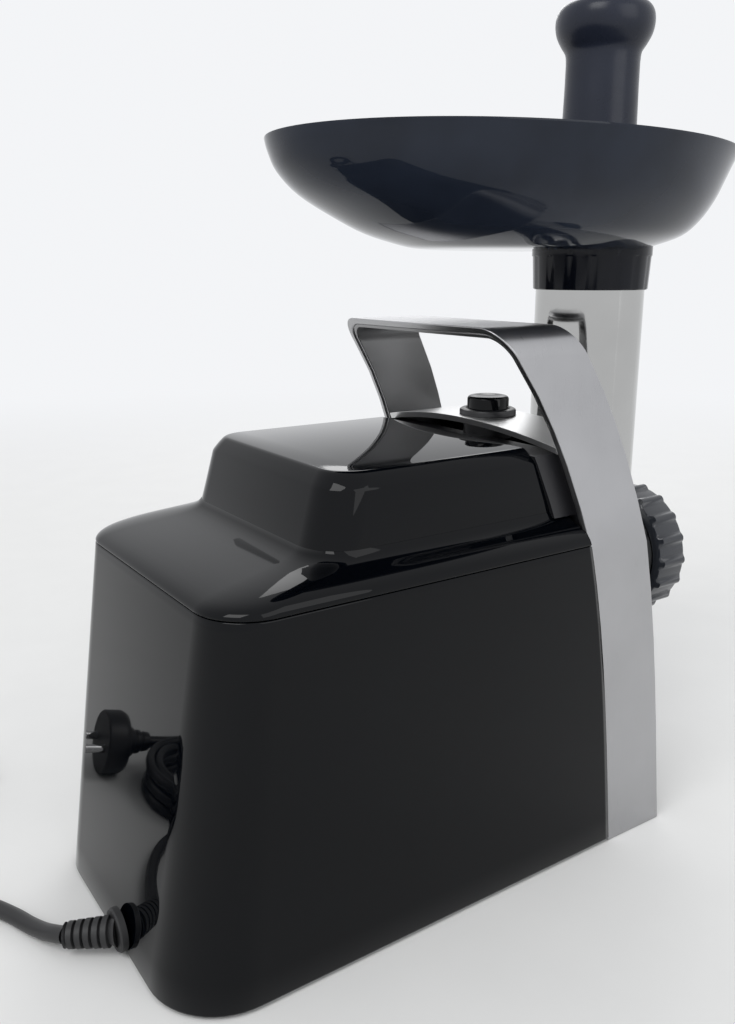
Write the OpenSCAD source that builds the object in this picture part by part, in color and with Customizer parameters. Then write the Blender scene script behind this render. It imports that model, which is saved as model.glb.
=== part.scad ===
// Electric meat grinder: motor housing with a hoop handle, feed head, tray, pusher and cord.
// Millimetres. The origin is on the table, under the middle of the tray and housing together.
// -Y is the outlet (front), +Y is the rear where the cord leaves, +Z is up.

/* [Housing] */
// Length of the base, hoop front to rear face
body_len = 260; // [240:1:312]
// Width of the base
body_w = 150; // [146:1:180]
// Height of the lower body's top edge
shoulder_z = 154; // [150:1:158]
// How far the rear face leans forward at the shoulder
rear_lean = 23; // [10:1:30]
// How far each side leans in at the shoulder
side_lean = 2.5; // [0:0.5:6]
// Radius of the rear corners at the base
base_corner_r = 32; // [20:1:40]
// Radius of the rear corners at the shoulder
shoulder_corner_r = 22; // [16:1:30]
// Wall of the plastic shells
wall = 2.5; // [2:0.1:3.5]
// Gap between the shell and the table
ground_gap = 1.5; // [1:0.1:3]

/* [Upper cover] */
// Height where the raised block starts
block_z = 166; // [164:1:172]
// Height of the deck
deck_z = 197; // [190:1:205]
// Width of the raised block at its foot
block_w = 120; // [110:1:130]
// Distance from the shoulder's rear edge to the block
block_set_in = 47; // [30:1:60]
// Height and depth of the bevel round the deck
bevel = 6; // [3:0.5:8]
// Gap between the block and the hoop
block_gap = 10; // [6:1:14]

/* [Hoop handle] */
// Height of the hoop
hoop_h = 248; // [236:1:280]
// Length of the hoop's foot along the base
hoop_foot = 36.6; // [30:0.2:46]
// Thickness of the metal band
hoop_t = 3; // [2:0.1:4]
// Thickness of the liner inside the band
liner_t = 1.6; // [1:0.1:3]
// Outer radius of the hoop's upper corners
hoop_corner_r = 14; // [10:1:20]
// Rise of the arch bridge at its middle
bridge_rise = 6; // [3:0.5:9]
// Thickness of the arch bridge
bridge_t = 3; // [2:0.1:4]

/* [Head] */
// Height of the barrel's axis
barrel_z = 118; // [114:1:120]
// Outer radius of the barrel
barrel_r = 30; // [28:0.5:32]
// Wall of the barrel
barrel_wall = 4.4; // [3.5:0.1:5]
// Outer radius of the feed neck
neck_r = 27; // [26:0.5:28]
// Wall of the feed neck
neck_wall = 3; // [2.5:0.1:4]
// Height of the neck's mouth
neck_top = 279.5; // [272:0.5:330]
// Outer radius of the ring nut
nut_r = 37; // [35:0.5:40]

/* [Tray and pusher] */
// Half length of the tray
tray_a = 121.5; // [100:0.5:146]
// Half width of the tray
tray_b = 84; // [70:0.5:100]
// Distance of the tray's middle behind the neck
tray_set_back = 55.5; // [30:0.5:70]
// Depth of the tray
tray_depth = 44.5; // [37:0.5:54]
// Wall of the tray
tray_wall = 2.4; // [2:0.1:3.5]
// Height of the pusher above the tray's rim
pusher_stand = 68; // [40:1:82]
// Radius of the pusher's knob
knob_r = 23.2; // [20:0.1:23.4]

/* [Drive] */
// Teeth of the output gear
output_teeth = 56; // [50:1:58]
// Teeth of the idler's small pinion
idler_small_teeth = 14; // [13:1:16]
// Teeth of the idler's large gear
idler_large_teeth = 60; // [56:1:60]
// Teeth of the motor pinion
pinion_teeth = 12; // [12:1:14]
// Outer radius of the motor's stator
stator_r = 37; // [33:0.5:38]
// Radius of the motor shaft
motor_shaft_r = 4; // [3.5:0.1:4.5]

/* [Controls] */
// Radius of the release button's cap
button_r = 10; // [8:0.1:11]
// Travel of the release button
button_travel = 4; // [3:0.1:4.5]
// Height of the rocker switch opening
switch_h = 26; // [22:1:32]

/* [Cord] */
// Diameter of the mains cord
cord_d = 7; // [6:0.1:8]
// Middle radius of the coil
coil_r = 38.5; // [35:0.5:42]

/* [Hidden] */

$fn = 64;
eps = 0.02;             // overlap of cutting shapes
clear = 0.3;            // gap between pieces that move past each other
fit = 0.05;             // running fit of shafts and pins
seat = 0.1;             // gap between a piece and its pocket

socket_set_back = 20;   // from the hoop's front to the front face of the bayonet socket
neck_out = 28;          // from that face to the neck's axis
front_y = (neck_out - socket_set_back + tray_a - tray_set_back - body_len)/2;
rear_y = front_y + body_len;
half_w = body_w/2;
shoulder_half = half_w - side_lean;
shoulder_rear = rear_y - rear_lean;
block_half = block_w/2;
block_rear = shoulder_rear - block_set_in;
face_y = front_y + socket_set_back;

// Side curves of the hoop, as [y, z], from the foot to the top.
curve_top = hoop_h + 2;
hoop_rear_ctl = [[front_y + hoop_foot, 0], [front_y + 46, 90], [front_y + 52, 190], [front_y + 108, curve_top]];
hoop_front_ctl = [[front_y, 0], [front_y + 10, 90], [front_y + 18, 190], [front_y + 66, curve_top]];
curve_steps = 14;

function bezier(p, t) =
    pow(1 - t, 3)*p[0] + 3*t*pow(1 - t, 2)*p[1] + 3*t*t*(1 - t)*p[2] + t*t*t*p[3];
function side_curve(p, shift) =
    [for (i = [0 : curve_steps]) bezier(p, i/curve_steps) + [shift, 0]];
function reversed(v) = [for (i = [len(v) - 1 : -1 : 0]) v[i]];

// Profile between two side curves, drawn in Y and Z.
function ribbon(p, p_shift, q, q_shift) =
    concat(side_curve(p, p_shift), reversed(side_curve(q, q_shift)));

// Outline of the hoop arch, drawn in X and Z, moved in by an inset.
arch_mid_z = 150;
arch_mid_half = shoulder_half - 0.5;
arch_lean = 0.134;
function arch_side(z) = arch_mid_half - (z - arch_mid_z)*arch_lean;
arch_corner_z = hoop_h - hoop_corner_r;
arch_lean_a = atan(arch_lean);
arch_corner_x = arch_side(arch_corner_z) - hoop_corner_r/cos(arch_lean_a);
arch_foot_half = half_w - 0.5;
function arch_half(inset) = concat(
    [[arch_foot_half - inset, 0], [arch_mid_half - inset, arch_mid_z]],
    [for (i = [0 : 6]) let (a = arch_lean_a + i*(90 - arch_lean_a)/6)
        [arch_corner_x + (hoop_corner_r - inset)*cos(a), arch_corner_z + (hoop_corner_r - inset)*sin(a)]]);
function mirrored(v) = [for (i = [len(v) - 1 : -1 : 0]) [-v[i][0], v[i][1]]];
function arch_outline(inset) = concat(arch_half(inset), mirrored(arch_half(inset)));
function arch_opening(inset) =
    concat([[arch_foot_half - inset, -1]], arch_outline(inset), [[inset - arch_foot_half, -1]]);

// Extrudes a Y-Z profile along X, centred.
module along_x(width) {
    rotate([90, 0, 90]) translate([0, 0, -width/2]) linear_extrude(width) children();
}
// Extrudes an X-Z profile along Y from y0 to y1.
module along_y(y0, y1) {
    translate([0, y1, 0]) rotate([90, 0, 0]) linear_extrude(y1 - y0) children();
}
// Cylinder along Y.
module y_rod(r, y0, y1, x = 0, z = 0) {
    translate([x, y1, z]) rotate([90, 0, 0]) cylinder(h = y1 - y0, r = r);
}
// Ring along Y.
module y_ring(ro, ri, y0, y1, x = 0, z = 0) {
    difference() {
        y_rod(ro, y0, y1, x, z);
        y_rod(ri, y0 - eps, y1 + eps, x, z);
    }
}
// Cylinder along X.
module x_rod(r, x0, x1, y = 0, z = 0) {
    translate([x0, y, z]) rotate([0, 90, 0]) cylinder(h = x1 - x0, r = r);
}
// Box from its lowest to its highest corner.
module box(a, b) {
    translate(a) cube(b - a);
}

// ---------------------------------------------------------------- housing

shell_fn = 40;

// Slab of the body's plan: round rear corners, square front.
module plan_slab(half, rear, corner, z, front = front_y) {
    for (s = [-1, 1]) {
        translate([s*(half - corner), rear - corner, z]) cylinder(h = eps, r = corner, $fn = shell_fn);
        translate([s*(half - 1) - 1, front, z]) cube([2, 2, eps]);
    }
}
module lower_solid(inset, z0) {
    hull() {
        plan_slab(half_w - inset, rear_y - inset, base_corner_r - inset, z0);
        plan_slab(shoulder_half - inset, shoulder_rear - inset, shoulder_corner_r - inset, shoulder_z - eps);
    }
}
// Everything behind the hoop's rear curve moved by a shift.
module behind_hoop(shift) {
    along_x(body_w + 40)
        polygon(concat(side_curve(hoop_rear_ctl, shift), [[rear_y + 60, curve_top], [rear_y + 60, 0]]));
}
base_z = ground_gap;
plate_t = 2.5;
plate_top = base_z + plate_t;
switch_y = rear_y - 110;
switch_z = 100;
switch_w = 18;
frame_wall = 1.7;
frame_depth = 12;
frame_half_y = switch_w/2 + frame_wall;
frame_half_z = switch_h/2 + frame_wall;
gland_x = -14;
gland_z = 10.5;
gland_sleeve_r = 6.2;
gland_flange_r = 9;
screw_r = 2;
screw_head_r = 3.6;
screw_top = plate_top + 14;
boss_r = 5;
boss_top = plate_top + 22;
rib_len = 20;
rib_t = 2.4;
boss_places = [
    for (s = [-1, 1]) [s*(half_w - 13), rear_y - 38],
    for (s = [-1, 1]) [s*(half_w - 9), rear_y - 130],
    for (s = [-1, 1]) [s*(half_w - 9), front_y + 62]
];
foot_r = 9;
foot_places = [
    for (s = [-1, 1]) [s*(half_w - 24), rear_y - 24],
    for (s = [-1, 1]) [s*(half_w - 20), front_y + 24]
];
side_x = half_w - side_lean*switch_z/shoulder_z;

module lower_body() {
    color([0.02, 0.02, 0.025])
    difference() {
        union() {
            difference() {
                intersection() {
                    lower_solid(0, base_z);
                    behind_hoop(0);
                }
                lower_solid(wall, base_z - 1);
            }
            intersection() {
                lower_solid(1, base_z);
                for (p = boss_places) {
                    translate([p[0], p[1], plate_top]) cylinder(h = boss_top - plate_top, r = boss_r);
                    translate([p[0] - (p[0] > 0 ? 0 : rib_len), p[1] - rib_t/2, plate_top])
                        cube([rib_len, rib_t, boss_top - plate_top - 2]);
                }
            }
        }
        for (p = boss_places)
            translate([p[0], p[1], plate_top - 1]) cylinder(h = screw_top - plate_top + 3, r = screw_r + fit);
        box([side_x - frame_depth, switch_y - frame_half_y - seat, switch_z - frame_half_z - seat],
            [side_x + 5, switch_y + frame_half_y + seat, switch_z + frame_half_z + seat]);
        y_rod(gland_sleeve_r + seat, rear_y - 20, rear_y + 5, gland_x, gland_z);
        y_rod(gland_flange_r + seat, gland_flange_y, rear_y + 5, gland_x, gland_z);
    }
}

block_corner_r = 18;
block_top_corner_r = 16;
deck_corner_r = 14;
block_top_half = block_half - 2.5;
block_top_rear = block_rear - 7;
deck_half = block_top_half - bevel*0.5;
deck_rear = block_top_rear - bevel*0.7;
bevel_z = deck_z - bevel;
module block_foot_slab(inset, z) {
    plan_slab(block_half - inset, block_rear - inset, block_corner_r - inset, z);
}
module block_top_slab(inset, z) {
    plan_slab(block_top_half - inset, block_top_rear - inset, block_top_corner_r - inset, z);
}
module block_solid(inset, drop) {
    top_z = bevel_z - inset*0.4;
    hull() {
        block_foot_slab(inset, block_z - drop - 1);
        block_foot_slab(inset, block_z - drop);
        block_top_slab(inset, top_z);
    }
    hull() {
        block_top_slab(inset, top_z - eps);
        plan_slab(deck_half - inset, deck_rear - inset, deck_corner_r - inset, deck_z - inset - eps);
    }
}
module shoulder_solid(inset, drop) {
    hull() {
        plan_slab(shoulder_half - inset, shoulder_rear - inset, shoulder_corner_r - inset, shoulder_z - drop);
        block_foot_slab(inset, block_z - inset - eps);
    }
}
module upper_cover() {
    color([0.02, 0.02, 0.025])
    difference() {
        union() {
            intersection() {
                shoulder_solid(0, 0);
                behind_hoop(0);
            }
            intersection() {
                block_solid(0, 0);
                behind_hoop(block_gap);
            }
        }
        shoulder_solid(wall, 2);
        intersection() {
            block_solid(wall, 8);
            behind_hoop(block_gap - 5);
        }
        along_y(front_y, rear_y) case_outline(seat);
    }
}

frame_half_inset = hoop_t + liner_t + seat;
gear_gap = 1.4;
case_wall = 2.2;
module_fast = 1;
module_slow = 1.5;
motor_drop = 38;
pair_slow = (output_teeth + idler_small_teeth)*module_slow/2;
pair_fast = (idler_large_teeth + pinion_teeth)*module_fast/2;
idler_dz = (pair_fast*pair_fast - pair_slow*pair_slow - motor_drop*motor_drop)/(2*motor_drop);
idler_x = sqrt(pair_slow*pair_slow - idler_dz*idler_dz);
idler_z = barrel_z + idler_dz;
motor_z = barrel_z - motor_drop;
out_tip_r = output_teeth*module_slow/2 + module_slow;
large_tip_r = idler_large_teeth*module_fast/2 + module_fast;
case_r = out_tip_r + gear_gap + case_wall;
case_small_r = large_tip_r + gear_gap + case_wall;
cover_y0 = face_y + 26;
cover_y1 = cover_y0 + 4;
case_y1 = cover_y1 + 32;
floor_y0 = case_y1 - 4;

module case_outline(grow) {
    translate([0, barrel_z]) circle(r = case_r + grow);
    translate([idler_x, idler_z]) circle(r = case_small_r + grow);
    translate([0, motor_z]) circle(r = 16 + grow);
}

arch_foot_z = deck_z - bridge_t - seat;
module mid_frame() {
    top = arch_foot_z;
    color([0.03, 0.03, 0.035])
    difference() {
        union() {
            intersection() {
                along_y(front_y, rear_y) polygon(arch_outline(frame_half_inset));
                along_x(body_w) polygon(ribbon(hoop_rear_ctl, -3, hoop_rear_ctl, -8));
                box([-half_w, front_y, plate_top + seat], [half_w, rear_y, top]);
            }
            difference() {
                intersection() {
                    along_y(front_y, rear_y) polygon(arch_outline(frame_half_inset + 3));
                    along_x(body_w) polygon(ribbon(hoop_rear_ctl, block_gap - seat, hoop_rear_ctl, -4));
                    box([-half_w, front_y, block_z + seat], [half_w, rear_y, top]);
                }
                box([-block_half + 4, front_y, block_z - 1], [block_half - 4, rear_y, top - 3]);
            }
        }
        along_y(front_y, rear_y) case_outline(seat);
        translate([0, button_y, block_z]) cylinder(h = 60, r = bezel_r + seat);
        box([-16, front_y, barrel_z], [16, rear_y, top - 4]);
    }
}

panel_t = 2.5;
socket_r = barrel_r + 9;
module front_panel() {
    color([0.03, 0.03, 0.035])
    difference() {
        intersection() {
            along_y(front_y - 5, rear_y) polygon(arch_outline(frame_half_inset));
            along_x(body_w) polygon(ribbon(hoop_front_ctl, 2, hoop_front_ctl, 2 + panel_t));
            box([-half_w, front_y - 5, base_z], [half_w, rear_y, arch_foot_z]);
        }
        y_rod(socket_r + seat, front_y - 10, rear_y, 0, barrel_z);
    }
}

module hoop_band(outer, inner_inset) {
    difference() {
        along_y(front_y - 5, front_y + 120) polygon(arch_outline(outer));
        along_y(front_y - 6, front_y + 121) polygon(arch_opening(inner_inset));
    }
}
module handle_hoop() {
    color([0.75, 0.76, 0.78])
    intersection() {
        hoop_band(0, hoop_t);
        along_x(body_w + 2) polygon(ribbon(hoop_front_ctl, 0, hoop_rear_ctl, 0));
    }
}
module handle_liner() {
    color([0.6, 0.61, 0.63])
    intersection() {
        hoop_band(hoop_t + eps, hoop_t + liner_t);
        along_x(body_w + 2) polygon(ribbon(hoop_front_ctl, 1, hoop_rear_ctl, -1));
    }
}

// Room that the hoop and its liner take, with a gap, cut from what stands behind them.
module hoop_room() {
    intersection() {
        hoop_band(-1, hoop_t + liner_t + seat);
        along_x(body_w + 4) polygon(ribbon(hoop_front_ctl, -seat, hoop_rear_ctl, seat));
    }
}

// Arch bridge across the hoop, over the deck's front end.
bridge_end_z = deck_z;
bridge_half = arch_side(bridge_end_z) - hoop_t - liner_t;
bridge_r = (bridge_half*bridge_half + bridge_rise*bridge_rise)/(2*bridge_rise);
bridge_top = bridge_end_z + bridge_rise;
bridge_back_y = front_y + 100;
module arch_bridge() {
    color([0.75, 0.76, 0.78])
    difference() {
        intersection() {
            y_ring(bridge_r, bridge_r - bridge_t, front_y, bridge_back_y, 0, bridge_top - bridge_r, $fn = 128);
            along_y(front_y, bridge_back_y) polygon(arch_outline(hoop_t + liner_t));
            along_x(body_w) polygon(ribbon(hoop_front_ctl, 1.5, hoop_rear_ctl, -1));
            box([-half_w, front_y, deck_z - bridge_t], [half_w, rear_y, hoop_h]);
        }
        translate([0, button_y, deck_z - 20]) cylinder(h = 60, r = bezel_r + seat);
    }
}

plate_gap = 1;
module plate_outline() {
    inset = wall + plate_gap;
    for (s = [-1, 1]) {
        translate([s*(half_w - base_corner_r), rear_y - base_corner_r]) circle(r = base_corner_r - inset);
    }
    translate([-half_w + base_corner_r, rear_y - base_corner_r])
        square([body_w - 2*base_corner_r, base_corner_r - inset]);
    body_y = front_y + hoop_foot + plate_gap;
    translate([-half_w + inset, body_y]) square([body_w - 2*inset, rear_y - base_corner_r - body_y]);
    foot_half = half_w - hoop_t - liner_t - 2;
    translate([-foot_half, front_y + panel_t + 3]) square([2*foot_half, hoop_foot]);
}
module base_plate() {
    slot_n = 9;
    color([0.05, 0.05, 0.055])
    difference() {
        translate([0, 0, base_z]) linear_extrude(plate_t) plate_outline();
        for (i = [0 : slot_n - 1])
            translate([(i - (slot_n - 1)/2)*10 - 2, switch_y + 4, base_z - 1]) cube([4, 36, plate_t + 2]);
        for (p = boss_places) {
            translate([p[0], p[1], base_z - 1]) cylinder(h = plate_t + 2, r = screw_r + fit);
            translate([p[0], p[1], base_z - 1]) cylinder(h = 2.2, r = screw_head_r + seat);
        }
        for (p = foot_places)
            translate([p[0], p[1], base_z - 1]) cylinder(h = plate_t + 2, r = foot_r/2 + fit);
    }
}
module base_screws() {
    color([0.6, 0.6, 0.62])
    for (p = boss_places) {
        difference() {
            union() {
                translate([p[0], p[1], base_z + 1.2]) cylinder(h = screw_top - base_z - 1.2, r = screw_r);
                translate([p[0], p[1], base_z + 0.2]) cylinder(h = 1, r = screw_head_r);
            }
            translate([p[0] - 0.5, p[1] - 3, base_z]) cube([1, 6, 0.6]);
        }
    }
}
module rubber_feet() {
    color([0.04, 0.04, 0.04])
    for (p = foot_places) {
        translate([p[0], p[1], 0]) cylinder(h = base_z, r = foot_r);
        translate([p[0], p[1], base_z - eps]) cylinder(h = plate_t + 1, r = foot_r/2);
    }
}

// ---------------------------------------------------------------- release

button_y = front_y + 58;
bezel_r = button_r + 1.6;
bezel_flange_r = button_r + 3.6;
bezel_floor_z = bridge_top - button_travel - 7;
bezel_top = bridge_top + 3;
cap_top = bezel_top + 6;
stem_r = 3;
lever_y = button_y - 11;
lever_z = 172.5;
lever_arm = 11;
lever_r = 2.5;
latch_y = lever_y - lever_arm;
pin_r = 2;

module button_bezel() {
    color([0.04, 0.04, 0.045])
    translate([0, button_y, 0])
    difference() {
        union() {
            translate([0, 0, bezel_floor_z]) cylinder(h = bezel_top - bezel_floor_z - 1, r = bezel_r);
            translate([0, 0, bridge_top]) cylinder(h = bezel_top - bridge_top, r = bezel_flange_r);
        }
        translate([0, 0, bezel_floor_z + 1.6]) cylinder(h = 30, r = button_r + clear);
        translate([0, 0, bezel_floor_z - 1]) cylinder(h = 5, r = stem_r + clear);
    }
}
module release_button() {
    color([0.03, 0.03, 0.03])
    translate([0, button_y, 0]) {
        translate([0, 0, bezel_top - 2]) cylinder(h = cap_top - bezel_top + 1, r = button_r);
        translate([0, 0, cap_top - 1 - eps]) cylinder(h = 1 + eps, r1 = button_r, r2 = button_r - 1);
        translate([0, 0, lever_z + lever_r + clear])
            cylinder(h = bezel_top - 2 - lever_z - lever_r - clear + eps, r = stem_r);
    }
}

// Compression spring under the cap: a round wire swept along a helix.
spring_turns = 4;
spring_r = 6.5;
spring_wire = 0.6;
spring_z0 = bezel_floor_z + 1.6 + 0.1;
spring_z1 = bezel_top - 2 - 0.1;
ring_sides = 6;
function ring_faces(n, m) = concat(
    [for (i = [0 : n - 2], j = [0 : m - 1])
        [i*m + j, i*m + (j + 1)%m, (i + 1)*m + (j + 1)%m, (i + 1)*m + j]],
    [[for (j = [m - 1 : -1 : 0]) j]],
    [[for (j = [0 : m - 1]) (n - 1)*m + j]]);
module button_spring() {
    steps = spring_turns*14;
    rise = spring_z1 - spring_z0 - 2*spring_wire;
    points = [for (i = [0 : steps], j = [0 : ring_sides - 1])
        let (a = 360*i/14, b = 360*j/ring_sides, r = spring_r + spring_wire*cos(b))
        [r*cos(a), r*sin(a), spring_z0 + spring_wire + rise*i/steps + spring_wire*sin(b)]];
    color([0.7, 0.7, 0.72])
    translate([0, button_y, 0]) polyhedron(points, [for (f = ring_faces(steps + 1, ring_sides)) reversed(f)]);
}

module lever_bracket() {
    foot_z = barrel_z + case_r + seat;
    color([0.5, 0.5, 0.52])
    difference() {
        union() {
            box([-13, lever_y - 3, foot_z], [13, lever_y + 6, foot_z + 1.4]);
            for (s = [-1, 1])
                translate([s*11.2 - 1.2, lever_y - 3, foot_z]) cube([2.4, 6, lever_z + 3 - foot_z]);
        }
        x_rod(pin_r + seat/2, -20, 20, lever_y, lever_z);
    }
}
module lever_pin() {
    color([0.7, 0.7, 0.72]) x_rod(pin_r, -13, 13, lever_y, lever_z);
}
module latch_lever() {
    color([0.55, 0.55, 0.57])
    difference() {
        union() {
            box([-5, lever_y, lever_z - 1.6], [5, button_y, lever_z + 1.6]);
            x_rod(lever_r, -5, 5, button_y, lever_z);
            x_rod(3.6, -9.5, 9.5, lever_y, lever_z);
            for (s = [-1, 1])
                translate([s*8 - 1.5, 0, 0])
                    along_x_at(3, [[lever_y - 3, lever_z + 1.5], [lever_y - 3, lever_z - 2.5],
                        [latch_y - 1.2, latch_peg_z - 4], [latch_y - 1.2, latch_peg_z - 1.3],
                        [latch_y + 2, latch_peg_z - 1.3]]);
        }
        x_rod(pin_r + fit, -20, 20, lever_y, lever_z);
    }
}
module along_x_at(width, points) {
    rotate([90, 0, 90]) linear_extrude(width) polygon(points);
}
latch_half = 5;
latch_t = 3;
latch_peg_z = 166.5;
lug_r = barrel_r + 3;
latch_tip_z = barrel_z + lug_r + clear;
module latch_plate() {
    color([0.7, 0.7, 0.72]) {
        box([-latch_half, latch_y - latch_t/2, latch_tip_z],
            [latch_half, latch_y + latch_t/2, latch_peg_z + 1.5]);
        x_rod(1, -9.5, 9.5, latch_y, latch_peg_z);
    }
}

// ---------------------------------------------------------------- switch

rocker_axis_x = side_x - 4;
module switch_frame() {
    y_half = switch_w/2;
    z_half = switch_h/2;
    lip = 3;
    color([0.05, 0.05, 0.055])
    difference() {
        union() {
            box([side_x - frame_depth, switch_y - frame_half_y, switch_z - frame_half_z],
                [side_x + 0.6, switch_y + frame_half_y, switch_z + frame_half_z]);
            box([side_x + 0.5, switch_y - frame_half_y - lip, switch_z - frame_half_z - lip],
                [side_x + 2, switch_y + frame_half_y + lip, switch_z + frame_half_z + lip]);
        }
        box([side_x - frame_depth + 1.5, switch_y - y_half, switch_z - z_half],
            [side_x + 6, switch_y + y_half, switch_z + z_half]);
        y_rod(1.5 + fit, switch_y - y_half - 1, switch_y + y_half + 1, rocker_axis_x, switch_z);
    }
}
module power_rocker() {
    z_half = switch_h/2 - 2.2;
    y_half = switch_w/2 - clear;
    color([0.08, 0.08, 0.08]) {
        intersection() {
            box([rocker_axis_x - 4, switch_y - y_half, switch_z - z_half],
                [rocker_axis_x + 8.5, switch_y + y_half, switch_z + z_half]);
            y_rod(z_half*1.35, switch_y - y_half, switch_y + y_half, rocker_axis_x - 6, switch_z);
        }
        y_rod(1.5, switch_y - switch_w/2 - 0.7, switch_y + switch_w/2 + 0.7, rocker_axis_x, switch_z);
    }
}

// ---------------------------------------------------------------- gears

pressure_a = 20;
backlash = 0.18;
function involute_a(t) = tan(t)*180/PI - t;
function flank_a(r, rb, half) = half + involute_a(pressure_a) - involute_a(acos(min(1, rb/r)));
function polar(r, a) = r*[cos(a), sin(a)];
// Flank points of one tooth side, from the base to the tip; side is -1 or 1.
function flank(rb, r0, ra, half, middle, side) =
    [for (k = [0 : flank_steps])
        let (r = r0 + (ra - r0)*k/flank_steps) polar(r, middle + side*flank_a(r, rb, half))];
flank_steps = 3;
function gear_points(m, teeth) =
    let (rp = m*teeth/2, rb = rp*cos(pressure_a), ra = rp + m, rf = rp - 1.25*m,
         r0 = max(rb, rf + eps), half = 90/teeth - backlash/rp*90/PI, root_a = flank_a(r0, rb, half))
    [for (i = [0 : teeth - 1])
        let (middle = i*360/teeth)
        each concat(
            [polar(rf, middle - root_a)],
            flank(rb, r0, ra, half, middle, -1),
            reversed(flank(rb, r0, ra, half, middle, 1)),
            [polar(rf, middle + root_a)])];
// Turn of gear B that meshes it with gear A, seen along the line from A to B.
function mesh_turn(line_a, turn_a, teeth_a, teeth_b) =
    line_a + 180 - (0.5 - (line_a - turn_a)*teeth_a/360)*360/teeth_b;

module y_gear(m, teeth, y0, y1, turn, x, z) {
    translate([x, y1, z]) rotate([90, 0, 0]) rotate([0, 0, turn])
        linear_extrude(y1 - y0) polygon(gear_points(m, teeth));
}

line_slow = atan2(idler_z - barrel_z, idler_x);
line_fast = atan2(motor_z - idler_z, -idler_x);
turn_small = mesh_turn(line_slow, 0, output_teeth, idler_small_teeth);
turn_pinion = mesh_turn(line_fast, 0, idler_large_teeth, pinion_teeth);
slow_y0 = cover_y1 + 4;
slow_y1 = slow_y0 + 10;
fast_y0 = slow_y1 + 3.5;
fast_y1 = fast_y0 + 6;
shaft_r = 8;
idler_pin_r = 4;
bearing_r = 11;
bearing_w = 7;

module output_gear() {
    color([0.85, 0.84, 0.78])
    difference() {
        union() {
            y_gear(module_slow, output_teeth, slow_y0, slow_y1, 0, 0, barrel_z);
            y_rod(14, slow_y0 - 2, slow_y1 + 2, 0, barrel_z);
        }
        y_rod(shaft_r, slow_y0 - 5, slow_y1 + 5, 0, barrel_z);
        for (i = [0 : 5])
            y_rod(6, slow_y0 - 5, slow_y1 + 5, 26*cos(60*i), barrel_z + 26*sin(60*i));
    }
}
hex_y0 = face_y + 14;
hex_r = shaft_r - 0.4;
module output_shaft() {
    color([0.7, 0.7, 0.72]) {
        y_rod(shaft_r, hex_y0 + 9, floor_y0 + 3, 0, barrel_z);
        translate([0, hex_y0 + 9 + eps, barrel_z]) rotate([90, 0, 0])
            cylinder(h = 9 + eps, r = hex_r, $fn = 6);
    }
}
module output_bushes() {
    color([0.72, 0.55, 0.3]) {
        y_ring(shaft_r + 3, shaft_r + fit, cover_y0, cover_y1 + 1.5, 0, barrel_z);
        y_ring(shaft_r + 3, shaft_r + fit, floor_y0 - 4, floor_y0 + 3, 0, barrel_z);
    }
}
module idler_gear() {
    color([0.85, 0.84, 0.78])
    difference() {
        union() {
            y_gear(module_slow, idler_small_teeth, slow_y0 - 1, fast_y0 + eps, turn_small, idler_x, idler_z);
            y_gear(module_fast, idler_large_teeth, fast_y0, fast_y1, 0, idler_x, idler_z);
        }
        y_rod(idler_pin_r + fit, slow_y0 - 5, fast_y1 + 5, idler_x, idler_z);
    }
}
module idler_pin() {
    color([0.7, 0.7, 0.72]) y_rod(idler_pin_r, cover_y0 + 2, floor_y0 + 2, idler_x, idler_z);
}
module motor_pinion() {
    color([0.7, 0.7, 0.72])
    difference() {
        y_gear(module_fast, pinion_teeth, fast_y0 - 0.5, fast_y1 + 0.8, turn_pinion, 0, motor_z);
        y_rod(motor_shaft_r, fast_y0 - 5, fast_y1 + 5, 0, motor_z);
    }
}
module gearbox_case() {
    color([0.55, 0.56, 0.58])
    difference() {
        union() {
            along_y(cover_y1, case_y1) case_outline(0);
            y_rod(bearing_r + 3, floor_y0, case_y1 + 4, 0, motor_z);
        }
        hoop_room();
        along_y(cover_y1 - 1, floor_y0) case_outline(-case_wall);
        y_rod(shaft_r + 3, floor_y0 - 1, floor_y0 + 3, 0, barrel_z);
        y_rod(idler_pin_r, floor_y0 - 1, floor_y0 + 2, idler_x, idler_z);
        y_rod(bearing_r, case_y1 + 4 - bearing_w, case_y1 + 10, 0, motor_z);
        y_rod(motor_shaft_r + 2, floor_y0 - 1, case_y1 + 10, 0, motor_z);
    }
}
module gearbox_cover() {
    color([0.55, 0.56, 0.58])
    difference() {
        along_y(cover_y0, cover_y1) case_outline(0);
        hoop_room();
        y_rod(shaft_r + 3, cover_y0 - 1, cover_y1 + 1, 0, barrel_z);
        y_rod(idler_pin_r, cover_y0 + 2, cover_y1 + 1, idler_x, idler_z);
    }
}

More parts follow.
